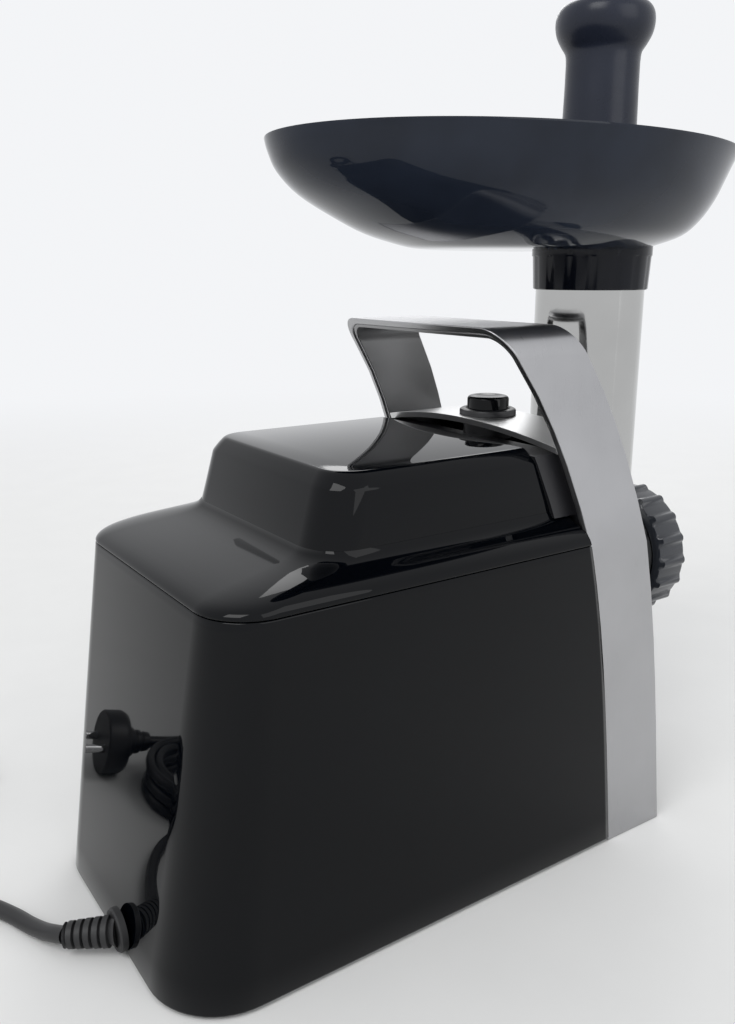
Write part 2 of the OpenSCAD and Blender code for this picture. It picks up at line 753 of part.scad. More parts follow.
// Metal ring with an inner lip that the head's three lugs turn behind.
lug_y0 = latch_y - 2.6;
lug_y1 = latch_y + 2.6;
lug_half_a = 26;
head_turn_a = 40;
module sector(r, half_a) {
    polygon(concat([[0, 0]], [for (i = [-3 : 3]) r*[cos(i*half_a/3), sin(i*half_a/3)]]));
}
module lug_sectors(r, half_a, middle) {
    for (i = [0 : 2])
        translate([0, barrel_z]) rotate(middle + 120*i) sector(r, half_a);
}
module bayonet_socket() {
    color([0.6, 0.61, 0.63])
    difference() {
        y_rod(socket_r, face_y, cover_y0, 0, barrel_z);
        y_rod(barrel_r + clear, face_y - 1, lug_y0, 0, barrel_z);
        y_rod(lug_r + clear, lug_y0 - clear, cover_y0 + 1, 0, barrel_z);
        along_y(face_y - 1, lug_y0) intersection() {
            translate([0, barrel_z]) circle(r = lug_r + clear);
            lug_sectors(lug_r + 10, lug_half_a + 3, 90 - head_turn_a);
        }
        box([-latch_half - clear, latch_y - latch_t/2 - clear, barrel_z + lug_r - 1],
            [latch_half + clear, latch_y + latch_t/2 + clear, barrel_z + socket_r + 5]);
    }
}

// ---------------------------------------------------------------- motor

stator_y0 = case_y1 + 18;
stator_y1 = stator_y0 + 42;
coil_t = 4;
coil_inner_r = 23.5;
coil_outer_r = 31;
fan_y0 = case_y1 + 5;
fan_y1 = fan_y0 + 8;
comm_y0 = stator_y1 + 8;
comm_y1 = comm_y0 + 16;
rear_bearing_y0 = comm_y1 + 8;
stator_bore = 21.6;
comm_r = 11;

module motor_cradle() {
    top = motor_z - 10;
    color([0.1, 0.1, 0.11])
    difference() {
        union() {
            for (y = [stator_y0 + 3, stator_y1 - 9])
                box([-32, y, plate_top], [32, y + 6, top]);
            box([-32, stator_y0 + 3, plate_top], [32, stator_y1 - 3, plate_top + 3]);
        }
        y_rod(stator_r + seat, stator_y0 - 5, stator_y1 + 5, 0, motor_z);
    }
}
module stator_core() {
    color([0.4, 0.41, 0.43])
    difference() {
        intersection() {
            y_rod(stator_r, stator_y0, stator_y1, 0, motor_z);
            box([-stator_r + 3, stator_y0 - 1, motor_z - stator_r - 1],
                [stator_r - 3, stator_y1 + 1, motor_z + stator_r + 1]);
        }
        y_rod(stator_bore, stator_y0 - 1, stator_y1 + 1, 0, motor_z);
    }
}
module field_coils() {
    color([0.6, 0.3, 0.12])
    for (y0 = [stator_y0 - coil_t, stator_y1], turn = [0, 180])
        about_motor(turn) intersection() {
            y_ring(coil_outer_r, coil_inner_r, y0, y0 + coil_t, 0, motor_z);
            box([-40, y0 - 1, motor_z + 6], [40, y0 + coil_t + 1, motor_z + 60]);
        }
}
module armature_core() {
    slots = 12;
    color([0.45, 0.45, 0.47])
    difference() {
        y_rod(stator_bore - 0.6, stator_y0 + 1, stator_y1 - 1, 0, motor_z);
        y_rod(motor_shaft_r, stator_y0 - 1, stator_y1 + 1, 0, motor_z);
        for (i = [0 : slots - 1])
            about_motor(i*360/slots)
                box([-1.1, stator_y0, motor_z + 15], [1.1, stator_y1, motor_z + 30]);
    }
}
module motor_shaft() {
    color([0.7, 0.7, 0.72])
    y_rod(motor_shaft_r, fast_y0 - 0.5, rear_bearing_y0 + bearing_w + 2, 0, motor_z);
}
module commutator() {
    bars = 16;
    color([0.72, 0.42, 0.2])
    difference() {
        y_rod(comm_r, comm_y0, comm_y1, 0, motor_z);
        y_rod(motor_shaft_r, comm_y0 - 1, comm_y1 + 1, 0, motor_z);
        for (i = [0 : bars - 1])
            about_motor(i*360/bars)
                box([-0.3, comm_y0 - 1, motor_z + comm_r - 1], [0.3, comm_y1 + 1, motor_z + comm_r + 1]);
    }
}
module cooling_fan() {
    blades = 11;
    fan_r = 31;
    color([0.12, 0.12, 0.13])
    difference() {
        union() {
            y_rod(9, fan_y0 - 0.5, fan_y1 - 0.5, 0, motor_z);
            y_rod(fan_r, fan_y1 - 1.6, fan_y1, 0, motor_z);
            for (i = [0 : blades - 1])
                about_motor(i*360/blades + 7)
                    box([-0.9, fan_y0, motor_z + 8], [0.9, fan_y1 - 1, motor_z + fan_r - 2]);
        }
        y_rod(motor_shaft_r, fan_y0 - 1, fan_y1 + 1, 0, motor_z);
    }
}
module motor_bearings() {
    color([0.7, 0.7, 0.72])
    for (y0 = [case_y1 + 4 - bearing_w, rear_bearing_y0])
        y_ring(bearing_r, motor_shaft_r + fit, y0, y0 + bearing_w, 0, motor_z);
}
module end_bracket() {
    color([0.5, 0.51, 0.53])
    difference() {
        union() {
            y_rod(bearing_r + 3, rear_bearing_y0 - 2, rear_bearing_y0 + bearing_w, 0, motor_z);
            box([-34, rear_bearing_y0, motor_z - 6], [34, rear_bearing_y0 + 4, motor_z + 6]);
            for (s = [-1, 1])
                translate([s*32.5 - 1.5, stator_y1, motor_z - 6]) cube([3, rear_bearing_y0 - stator_y1 + 1, 12]);
        }
        y_rod(bearing_r, rear_bearing_y0, rear_bearing_y0 + bearing_w + 1, 0, motor_z);
        y_rod(motor_shaft_r + 2, rear_bearing_y0 - 5, rear_bearing_y0 + 20, 0, motor_z);
    }
}
brush_y = (comm_y0 + comm_y1)/2;
brush_half_y = 3.5;
brush_half_z = 3;
brush_out = 28;
module about_motor(turn) {
    translate([0, 0, motor_z]) rotate([0, turn, 0]) translate([0, 0, -motor_z]) children();
}
module brush_holders() {
    half_y = brush_half_y + seat/2;
    half_z = brush_half_z + seat/2;
    color([0.6, 0.5, 0.2])
    for (turn = [0, 180])
        about_motor(turn) difference() {
            box([comm_r + 1, brush_y - 5, motor_z - 4.5], [brush_out + 3, brush_y + 5, motor_z + 4.5]);
            box([comm_r, brush_y - half_y, motor_z - half_z],
                [brush_out + 1, brush_y + half_y, motor_z + half_z]);
        }
}
module carbon_brushes() {
    color([0.15, 0.15, 0.16])
    for (turn = [0, 180])
        about_motor(turn) difference() {
            box([comm_r - 2, brush_y - brush_half_y, motor_z - brush_half_z],
                [brush_out, brush_y + brush_half_y, motor_z + brush_half_z]);
            y_rod(comm_r + fit, comm_y0, comm_y1, 0, motor_z);
        }
}
module control_board() {
    y0 = rear_bearing_y0 + 4;
    z0 = plate_top + 9;
    color([0.1, 0.35, 0.18]) {
        box([-34, y0, z0], [30, y0 + 32, z0 + 1.6]);
        for (x = [-31, 27], y = [y0 + 3, y0 + 29])
            translate([x, y, plate_top]) cylinder(h = 9 + eps, r = 2.4);
        box([-28, y0 + 6, z0 + 1.5], [-8, y0 + 20, z0 + 15]);
        translate([8, y0 + 14, z0 + 1.5]) cylinder(h = 18, r = 6);
    }
}
module cord_clamp() {
    y1 = rear_y - 12;
    color([0.1, 0.1, 0.11])
    difference() {
        box([gland_x - 12, y1 - 8, plate_top], [gland_x + 12, y1, gland_z + 9]);
        y_rod(gland_sleeve_r + seat, y1 - 2, y1 + 1, gland_x, gland_z);
        y_rod(cord_d/2 + 0.5, y1 - 9, y1 + 1, gland_x, gland_z);
    }
}

// ---------------------------------------------------------------- head

neck_y = face_y - neck_out;
barrel_y0 = face_y - 72;
barrel_bore = barrel_r - barrel_wall;
neck_bore = neck_r - neck_wall;
ledge_z = barrel_z + barrel_r + 12;
plate_y0 = barrel_y0 - 2;
plate_y1 = plate_y0 + 5;
plate_r = barrel_bore + 1.8;
tail_hole_r = 11.8;
module head_casting() {
    color([0.78, 0.79, 0.8])
    difference() {
        union() {
            y_rod(barrel_r, barrel_y0, lug_y1, 0, barrel_z);
            along_y(lug_y0, lug_y1) intersection() {
                translate([0, barrel_z]) circle(r = lug_r);
                lug_sectors(lug_r + 10, lug_half_a, 90);
            }
            translate([0, neck_y, barrel_z]) cylinder(h = neck_top - barrel_z, r = neck_r);
        }
        y_rod(barrel_bore, barrel_y0 - 1, lug_y0 - 1, 0, barrel_z);
        y_rod(plate_r + seat, barrel_y0 - 1, plate_y1 + seat, 0, barrel_z);
        y_rod(tail_hole_r, lug_y0 - 5, lug_y1 + 1, 0, barrel_z);
        translate([0, neck_y, barrel_z]) cylinder(h = neck_top, r = neck_bore - 2);
        translate([0, neck_y, ledge_z]) cylinder(h = neck_top, r = neck_bore);
        box([-latch_half - clear, latch_y - 5, barrel_z + lug_r - 2.5],
            [latch_half + clear, latch_y + 5, barrel_z + lug_r + 5]);
    }
}

screw_flight_r = barrel_bore - 0.8;
core_r = 9.5;
screw_y1 = lug_y0 - 4;
screw_y0 = plate_y1 + 6;
screw_pitch = 26;
module feed_screw() {
    length = screw_y1 - screw_y0 - 2;
    flight_a = 64;
    color([0.75, 0.76, 0.77]) {
        y_rod(core_r, screw_y0, screw_y1, 0, barrel_z);
        translate([0, screw_y1 - 1, barrel_z]) rotate([90, 0, 0])
            linear_extrude(height = length, twist = 360*length/screw_pitch, slices = 30)
                polygon(concat([for (i = [0 : 3]) screw_flight_r*[cos(i*flight_a/3), sin(i*flight_a/3)]],
                    [6*[cos(flight_a), sin(flight_a)], 6*[1, 0]]));
        box([-4.5, plate_y1, barrel_z - 4.5], [4.5, screw_y0 + eps, barrel_z + 4.5]);
        y_rod(3.9, plate_y0 + 1, plate_y1 + eps, 0, barrel_z);
    }
}
module screw_tail() {
    color([0.85, 0.85, 0.82])
    difference() {
        union() {
            y_rod(15, screw_y1, lug_y0 - 1.6, 0, barrel_z);
            y_rod(tail_hole_r - clear, lug_y0 - 2, lug_y1 + 4, 0, barrel_z);
        }
        translate([0, lug_y1 + 5, barrel_z]) rotate([90, 0, 0])
            cylinder(h = lug_y1 + 5 - hex_y0 + seat, r = hex_r + seat, $fn = 6);
    }
}
module cutting_knife() {
    color([0.8, 0.8, 0.82])
    difference() {
        union() {
            y_rod(9, plate_y1 + 0.2, plate_y1 + 5, 0, barrel_z);
            for (i = [0 : 3])
                translate([0, 0, barrel_z]) rotate([0, 90*i + 12, 0]) translate([0, 0, -barrel_z])
                    box([-3.6, plate_y1 + 0.2, barrel_z + 5], [3.6, plate_y1 + 4, barrel_z + screw_flight_r]);
        }
        box([-4.6, plate_y0, barrel_z - 4.6], [4.6, screw_y0 + 1, barrel_z + 4.6]);
    }
}
module hole_plate() {
    color([0.72, 0.73, 0.74])
    difference() {
        y_rod(plate_r, plate_y0, plate_y1, 0, barrel_z);
        y_rod(3.9 + fit, plate_y0 - 1, plate_y1 + 1, 0, barrel_z);
        for (ring = [1 : 3], i = [0 : ring*6 - 1]) {
            r = ring*6.6 + 2.2;
            a = i*360/(ring*6) + ring*9;
            y_rod(2.2, plate_y0 - 1, plate_y1 + 1, r*cos(a), barrel_z + r*sin(a), $fn = 20);
        }
    }
}
nut_y1 = neck_y - neck_r - 1.3;
nut_y0 = plate_y0 - 3;
nut_ribs = 18;
nut_rib_r = 2.4;
module ring_nut() {
    color([0.2, 0.21, 0.23])
    difference() {
        union() {
            y_rod(nut_r - 1.2, nut_y0, nut_y1, 0, barrel_z);
            for (i = [0 : nut_ribs - 1])
                translate([0, 0, barrel_z]) rotate([0, i*360/nut_ribs, 0])
                    y_rod(nut_rib_r, nut_y0 + 2, nut_y1 - 2, nut_r - nut_rib_r, 0, $fn = 16);
        }
        y_rod(barrel_r + clear, plate_y0 - seat, nut_y1 + 1, 0, barrel_z);
        y_rod(plate_r - 2.5, nut_y0 - 1, nut_y1, 0, barrel_z);
    }
}

// ---------------------------------------------------------------- tray

tray_floor_z = neck_top + 0.2;
rim_z = tray_floor_z + tray_depth;
tray_y = neck_y + tray_set_back;
// Levels of the bowl's outside: share of the half length, share of the depth, share moved to the front.
tray_section = [
    [0.42, 0, 0.1], [0.575, 0.05, 0.1], [0.70, 0.15, 0.09], [0.797, 0.30, 0.062],
    [0.89, 0.50, 0.016], [0.947, 0.70, -0.008], [0.98, 0.88, -0.008], [1, 1, 0]
];
tray_sides = 40;
function tray_ring(level, lift, inset) = [for (j = [0 : tray_sides - 1])
    let (a = 360*j/tray_sides)
    [(tray_b*level[0] - inset)*sin(a), (tray_a*level[0] - inset)*cos(a) - tray_a*level[2],
     tray_floor_z + tray_depth*level[1] + lift]];
module bowl(inset, lift) {
    rows = len(tray_section);
    points = [for (level = tray_section) each tray_ring(level, lift, inset)];
    translate([0, tray_y, 0]) polyhedron(points, ring_faces(rows, tray_sides));
}
collar_z0 = neck_top - 18.5;
collar_r0 = neck_r + 1.4;
collar_r1 = neck_r + 2.6;
collar_bed_r = collar_r1 + 0.2;
collar_top = tray_floor_z + 1.4;
throat_r = neck_bore + 0.2;
module feed_tray() {
    color([0.12, 0.15, 0.2])
    difference() {
        bowl(0, 0);
        bowl(tray_wall, tray_wall);
        translate([0, neck_y, tray_floor_z - 1]) cylinder(h = 30, r = throat_r);
        translate([0, neck_y, tray_floor_z - 1]) cylinder(h = collar_top - tray_floor_z + 1, r = collar_bed_r);
    }
}
module tray_collar() {
    color([0.05, 0.06, 0.08])
    translate([0, neck_y, 0])
    difference() {
        union() {
            translate([0, 0, collar_z0])
                cylinder(h = collar_top - collar_z0 - 1, r1 = collar_r0, r2 = collar_r1 - 0.4);
            translate([0, 0, collar_top - 1.4]) cylinder(h = 1.4, r = collar_r1);
        }
        translate([0, 0, collar_z0 - 1]) cylinder(h = tray_floor_z - collar_z0 + 1, r = neck_r + clear);
        translate([0, 0, collar_z0 - 1]) cylinder(h = 40, r = throat_r);
    }
}
module pusher() {
    top = rim_z + pusher_stand;
    foot = ledge_z + clear;
    foot_r = neck_bore - 0.5;
    wide_z = collar_z0 - 30;
    color([0.12, 0.15, 0.2])
    translate([0, neck_y, 0])
    difference() {
        rotate_extrude($fn = 72) polygon([
            [0, foot], [foot_r, foot], [foot_r, wide_z - 60], [neck_bore - 1.6, wide_z],
            [neck_bore - 4.6, rim_z - 30], [18, rim_z + 6], [17.4, top - 26],
            [17.6, top - 22], [19.4, top - 17], [knob_r - 0.7, top - 12],
            [knob_r, top - 8], [knob_r - 0.6, top - 4.5], [knob_r - 3, top - 1.2],
            [knob_r - 7, top], [0, top]]);
        rotate_extrude($fn = 72) polygon([
            [0, foot + 3], [foot_r - 2.4, foot + 3], [foot_r - 2.4, wide_z - 60], [neck_bore - 4, wide_z],
            [neck_bore - 7, rim_z - 30], [15.4, rim_z + 6], [15, top - 24], [17, top - 15],
            [knob_r - 4, top - 9], [knob_r - 8, top - 3], [0, top - 3]]);
    }
}

// ---------------------------------------------------------------- cord

cord_r = cord_d/2;
gland_flange_y = rear_y - 0.2;
boot_a = 34;
boot_len = 20;
boot_start = [gland_x, gland_flange_y + 3, gland_z];
boot_end = boot_start + boot_len*[sin(boot_a), cos(boot_a), -0.1];
module cord_gland() {
    color([0.04, 0.04, 0.045]) {
        y_rod(gland_sleeve_r, rear_y - 13.9, gland_flange_y + 1, gland_x, gland_z);
        y_rod(gland_flange_r, gland_flange_y, gland_flange_y + 3, gland_x, gland_z);
        translate(boot_start) rotate([0, 0, -boot_a]) rotate([-90, 0, 0]) rotate([-5.7, 0, 0])
            translate([0, 0, -2]) cylinder(h = boot_len + 2, r1 = 6.8, r2 = 5.6);
    }
}
// Route of the cord on the table, from the boot to the coil.
lay_z = cord_r + 0.1;
route = [
    boot_end, [2, rear_y + 22, 7.2], [9, rear_y + 25, 5.2], [18, rear_y + 28.5, 3.9],
    [28, rear_y + 32.5, lay_z], [40, rear_y + 39, lay_z], [51, rear_y + 47, lay_z], [60, rear_y + 57, lay_z],
    [66, rear_y + 69, lay_z], [69, rear_y + 82, lay_z], [70, rear_y + 96, lay_z]
];
coil_x = 70 + coil_r + cord_r;
coil_y = rear_y + 110;
coil_in = coil_r - cord_d;
coil_out = coil_r + cord_d;
coil_top = 3*cord_d;
tail_x = coil_x + coil_r + cord_r;
tail = [[tail_x, rear_y + 96, 17.6], [tail_x, rear_y + 88, 17.8], [tail_x, rear_y + 80, 18]];
sweep_sides = 8;
function unit(v) = v/norm(v);
function along(p, i) = unit(p[min(i + 1, len(p) - 1)] - p[max(i - 1, 0)]);
function ring_at(c, d, r) =
    let (side = unit(cross(d, [0, 0, 1])), up = cross(side, d))
    [for (j = [0 : sweep_sides - 1]) let (a = 360*(j + 0.5)/sweep_sides) c + r*(cos(a)*side + sin(a)*up)];
module swept_cord(p) {
    points = [for (i = [0 : len(p) - 1]) each ring_at(p[i], along(p, i), cord_r)];
    polyhedron(points, [for (f = ring_faces(len(p), sweep_sides)) reversed(f)]);
}
module power_cord() {
    color([0.05, 0.05, 0.055]) swept_cord(route);
}
module cord_coil() {
    color([0.05, 0.05, 0.055])
    translate([coil_x, coil_y, 0]) rotate_extrude($fn = 64)
        polygon([[coil_in, 0], [coil_out, 0], [coil_out, coil_top], [coil_in, coil_top]]);
}
module cord_tie() {
    color([0.02, 0.02, 0.02])
    difference() {
        box([coil_x - 4, coil_y + coil_in - 1.2, 0], [coil_x + 4, coil_y + coil_out + 1.4, coil_top + 1]);
        translate([coil_x, coil_y, -1]) difference() {
            cylinder(h = coil_top + 1 + eps, r = coil_out + eps);
            translate([0, 0, -1]) cylinder(h = coil_top + 4, r = coil_in - eps);
        }
    }
}
module cord_tail() {
    color([0.05, 0.05, 0.055]) swept_cord(tail);
}
plug_x = tail[2][0];
plug_y = tail[2][1];
plug_z = 18.4;
module plug_body() {
    color([0.05, 0.05, 0.055])
    difference() {
        union() {
            translate([plug_x, plug_y, 18]) rotate([90, 0, 0]) cylinder(h = 20, r1 = 5.2, r2 = 9);
            y_rod(plug_z, plug_y - 40, plug_y - 19, plug_x, plug_z);
        }
        for (s = [-1, 1])
            y_rod(2.4, plug_y - 41, plug_y - 30, plug_x + s*9.5, plug_z);
    }
}
module plug_pins() {
    color([0.75, 0.75, 0.76])
    for (s = [-1, 1])
        y_rod(2.4, plug_y - 59, plug_y - 30, plug_x + s*9.5, plug_z);
}

lower_body();
upper_cover();
mid_frame();
front_panel();
handle_hoop();
handle_liner();
arch_bridge();
base_plate();
base_screws();
rubber_feet();
button_bezel();
release_button();
button_spring();
lever_bracket();
lever_pin();
latch_lever();
latch_plate();
switch_frame();
power_rocker();
bayonet_socket();
gearbox_case();
gearbox_cover();
output_bushes();
output_gear();
output_shaft();
idler_gear();
idler_pin();
motor_pinion();
motor_cradle();
stator_core();
field_coils();
armature_core();
motor_shaft();
commutator();
cooling_fan();
motor_bearings();
end_bracket();
brush_holders();
carbon_brushes();
control_board();
cord_clamp();
head_casting();
feed_screw();
screw_tail();
cutting_knife();
hole_plate();
ring_nut();
feed_tray();
tray_collar();
pusher();
cord_gland();
power_cord();
cord_coil();
cord_tie();
cord_tail();
plug_body();
plug_pins();
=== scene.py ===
import logging
import math
from dataclasses import dataclass, field
from enum import Enum
from typing import Callable, Sequence

import bmesh
import bpy
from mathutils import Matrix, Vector


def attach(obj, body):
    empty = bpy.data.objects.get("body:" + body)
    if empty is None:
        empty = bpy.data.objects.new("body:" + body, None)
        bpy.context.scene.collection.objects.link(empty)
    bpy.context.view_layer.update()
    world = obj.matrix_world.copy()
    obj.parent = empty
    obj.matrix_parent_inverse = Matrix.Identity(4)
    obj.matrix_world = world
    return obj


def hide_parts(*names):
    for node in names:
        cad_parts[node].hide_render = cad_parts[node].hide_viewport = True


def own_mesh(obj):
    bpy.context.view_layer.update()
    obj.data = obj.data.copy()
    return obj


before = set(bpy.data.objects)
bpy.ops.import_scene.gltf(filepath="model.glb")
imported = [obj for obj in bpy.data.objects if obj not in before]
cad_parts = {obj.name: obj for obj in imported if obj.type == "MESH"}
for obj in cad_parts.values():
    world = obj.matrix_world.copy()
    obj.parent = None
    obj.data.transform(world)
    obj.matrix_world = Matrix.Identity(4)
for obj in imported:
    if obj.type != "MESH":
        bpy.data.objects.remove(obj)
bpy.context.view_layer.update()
LOG = logging.getLogger("grinder")
MM = 0.001
COAT_ROUGHNESS = 0.05
HANDLING_SCALE = 22.0
NECK_Y = -101.0

Point = tuple[float, float, float]
Flat = tuple[float, float]


# ------------------------------------------------------------------ finishes


class Grain(Enum):
    """How the fine surface pattern of a finish runs."""

    EVEN = (1.0, 1.0, 1.0)
    ROUND_THE_BAND = (0.03, 1.0, 0.03)
    ALONG_X = (0.03, 1.0, 1.0)
    ALONG_Z = (1.0, 1.0, 0.03)


@dataclass(frozen=True)
class Finish:
    """A surface finish made from noise, with its own colour drift, gloss drift and relief.

    The scales of the patterns are in repeats per metre.
    """

    title: str
    colour: Point
    roughness: float
    metallic: float = 0.0
    coat: float = 0.0
    drift: float = 0.12
    gloss_drift: float = 0.06
    grain: Grain = Grain.EVEN
    grain_scale: float = 900.0
    relief: float = 0.05
    relief_depth: float = 0.00002
    ior: float = 1.49

    def material(self) -> bpy.types.Material:
        """Builds the material once and gives the same one back afterwards.

        Returns:
            The node material of this finish.
        """
        name = f"{self.title}_finish"
        made = bpy.data.materials.get(name)
        if made is not None:
            return made
        made = bpy.data.materials.new(name)
        made.use_nodes = True
        nodes, links = made.node_tree.nodes, made.node_tree.links
        shader = nodes["Principled BSDF"]
        for socket, value in (("Metallic", self.metallic), ("IOR", self.ior),
                              ("Coat Weight", self.coat), ("Coat Roughness", COAT_ROUGHNESS)):
            shader.inputs[socket].default_value = value
        place = nodes.new("ShaderNodeTexCoord")
        stretch = nodes.new("ShaderNodeMapping")
        stretch.inputs["Scale"].default_value = self.grain.value
        links.new(place.outputs["Object"], stretch.inputs["Vector"])
        fine = self._noise(made, stretch.outputs["Vector"], self.grain_scale, detail=4.0)
        broad = self._noise(made, place.outputs["Object"], HANDLING_SCALE, detail=3.0)
        links.new(self._tint(made, broad), shader.inputs["Base Color"])
        links.new(self._gloss(made, fine, broad), shader.inputs["Roughness"])
        bump = nodes.new("ShaderNodeBump")
        bump.inputs["Strength"].default_value = self.relief
        bump.inputs["Distance"].default_value = self.relief_depth
        links.new(fine, bump.inputs["Height"])
        links.new(bump.outputs["Normal"], shader.inputs["Normal"])
        return made

    @staticmethod
    def _noise(made: bpy.types.Material, vector: bpy.types.NodeSocket, scale: float,
               detail: float) -> bpy.types.NodeSocket:
        """Adds a noise pattern.

        Args:
            made: The material that gets the node.
            vector: Where the pattern takes its place from.
            scale: Repeats per metre.
            detail: How many finer layers it has.

        Returns:
            The socket that gives the pattern's value.
        """
        noise = made.node_tree.nodes.new("ShaderNodeTexNoise")
        noise.inputs["Scale"].default_value = scale
        noise.inputs["Detail"].default_value = detail
        made.node_tree.links.new(vector, noise.inputs["Vector"])
        return noise.outputs["Fac"]

    def _tint(self, made: bpy.types.Material, value: bpy.types.NodeSocket) -> bpy.types.NodeSocket:
        """Turns a pattern into a gentle drift between two shades of the colour.

        Args:
            made: The material that gets the node.
            value: The pattern's value.

        Returns:
            The socket that gives the colour.
        """
        ramp = made.node_tree.nodes.new("ShaderNodeValToRGB")
        dark, light = ramp.color_ramp.elements
        dark.position, light.position = 0.3, 0.7
        dark.color = (*[c * (1 - self.drift) for c in self.colour], 1)
        light.color = (*[min(1.0, c * (1 + self.drift)) for c in self.colour], 1)
        made.node_tree.links.new(value, ramp.inputs["Fac"])
        return ramp.outputs["Color"]

    def _gloss(self, made: bpy.types.Material, fine: bpy.types.NodeSocket,
               broad: bpy.types.NodeSocket) -> bpy.types.NodeSocket:
        """Gives a roughness that wanders with the grain and with faint handling marks.

        Args:
            made: The material that gets the nodes.
            fine: The value of the grain.
            broad: The value of the handling marks.

        Returns:
            The socket that gives the roughness.
        """
        nodes, links = made.node_tree.nodes, made.node_tree.links
        blend = nodes.new("ShaderNodeMath")
        blend.operation = "MULTIPLY"
        links.new(fine, blend.inputs[0])
        links.new(broad, blend.inputs[1])
        span = nodes.new("ShaderNodeMapRange")
        for socket, value in (("From Min", 0.1), ("From Max", 0.45),
                              ("To Min", max(0.01, self.roughness - self.gloss_drift)),
                              ("To Max", self.roughness + self.gloss_drift)):
            span.inputs[socket].default_value = value
        links.new(blend.outputs[0], span.inputs["Value"])
        return span.outputs["Result"]


PIANO_BLACK = Finish("piano_black", (0.0005, 0.0009, 0.0018), 0.03, gloss_drift=0.02,
                     grain_scale=60.0, relief=0.02, ior=1.28)
SATIN_BLACK = Finish("satin_black", (0.012, 0.012, 0.014), 0.38, relief=0.25)
SATIN_SILVER = Finish("satin_silver", (0.42, 0.42, 0.43), 0.32, metallic=1.0, drift=0.05,
                      grain=Grain.ROUND_THE_BAND, grain_scale=2600.0, relief=0.12)
LINER_SILVER = Finish("liner_silver", (0.3, 0.3, 0.305), 0.38, metallic=1.0, drift=0.06,
                      grain=Grain.ROUND_THE_BAND, grain_scale=2200.0, relief=0.15)
BRIDGE_SILVER = Finish("bridge_silver", (0.66, 0.66, 0.66), 0.36, metallic=1.0, drift=0.05,
                       grain=Grain.ALONG_X, grain_scale=2600.0, relief=0.1)
POLISHED_ALLOY = Finish("polished_alloy", (0.45, 0.45, 0.44), 0.07, metallic=1.0, drift=0.05,
                        gloss_drift=0.03, grain=Grain.ALONG_Z, grain_scale=1500.0, relief=0.03)
MACHINED_STEEL = Finish("machined_steel", (0.5, 0.5, 0.51), 0.28, metallic=1.0, drift=0.06,
                        grain_scale=1800.0, relief=0.12)
SMOKY_BLUE = Finish("smoky_blue", (0.013, 0.017, 0.027), 0.05, drift=0.3, gloss_drift=0.03,
                    grain_scale=120.0, relief=0.02, ior=1.3)
SMOKY_PUSHER = Finish("smoky_pusher", (0.018, 0.022, 0.036), 0.3, drift=0.15, grain_scale=160.0,
                      relief=0.04, ior=1.34)
COLLAR_BLACK = Finish("collar_black", (0.003, 0.004, 0.008), 0.16, relief=0.1, ior=1.3)
RUBBER_BLACK = Finish("rubber_black", (0.014, 0.014, 0.015), 0.55, relief=0.35,
                      relief_depth=0.00005)
GEAR_PLASTIC = Finish("gear_plastic", (0.72, 0.7, 0.62), 0.4, drift=0.06, relief=0.2)
CAST_ALLOY = Finish("cast_alloy", (0.42, 0.43, 0.45), 0.42, metallic=1.0, drift=0.1,
                    grain_scale=700.0, relief=0.4, relief_depth=0.00006)
BRONZE = Finish("bronze", (0.5, 0.32, 0.14), 0.36, metallic=1.0, relief=0.2)
LAMINATED = Finish("laminated_steel", (0.2, 0.2, 0.22), 0.4, metallic=0.8, grain=Grain.ALONG_X,
                   grain_scale=1500.0, relief=0.5, relief_depth=0.00008)
COPPER = Finish("copper_winding", (0.5, 0.18, 0.07), 0.32, metallic=1.0, grain_scale=1400.0,
                relief=0.5, relief_depth=0.0001)
CARBON = Finish("carbon", (0.03, 0.03, 0.032), 0.6, relief=0.3)
BOARD_GREEN = Finish("board_green", (0.012, 0.1, 0.04), 0.3, coat=0.3, relief=0.15)
NUT_GREY = Finish("nut_grey", (0.02, 0.023, 0.03), 0.26, coat=0.25, relief=0.15)
JACKET_BLACK = Finish("jacket_black", (0.012, 0.012, 0.013), 0.4, grain_scale=1100.0, relief=0.3,
                      relief_depth=0.00004)
PLATED = Finish("plated_pins", (0.66, 0.66, 0.66), 0.12, metallic=1.0, drift=0.04)


# ------------------------------------------------------------------ mesh tools


def add_object(name: str, data: bpy.types.ID) -> bpy.types.Object:
    """Makes an object of a mesh, a curve, a camera or a lamp and puts it in the scene.

    Args:
        name: The object's name.
        data: What it shows.

    Returns:
        The new object.
    """
    made = bpy.data.objects.new(name, data)
    bpy.context.scene.collection.objects.link(made)
    return made


def solid_from(name: str, points: Sequence[Point],
               faces: Sequence[Sequence[int]]) -> bpy.types.Object:
    """Makes a mesh object from points in millimetres.

    Args:
        name: The piece's name.
        points: Corner points in millimetres, in the row frame.
        faces: Corner numbers of each face.

    Returns:
        The new object, with consistent outward normals.
    """
    mesh = bpy.data.meshes.new(name)
    mesh.from_pydata([tuple(v * MM for v in p) for p in points], [], [list(f) for f in faces])
    work = bmesh.new()
    work.from_mesh(mesh)
    bmesh.ops.remove_doubles(work, verts=work.verts, dist=1e-6)
    bmesh.ops.recalc_face_normals(work, faces=work.faces)
    work.to_mesh(mesh)
    work.free()
    return add_object(name, mesh)


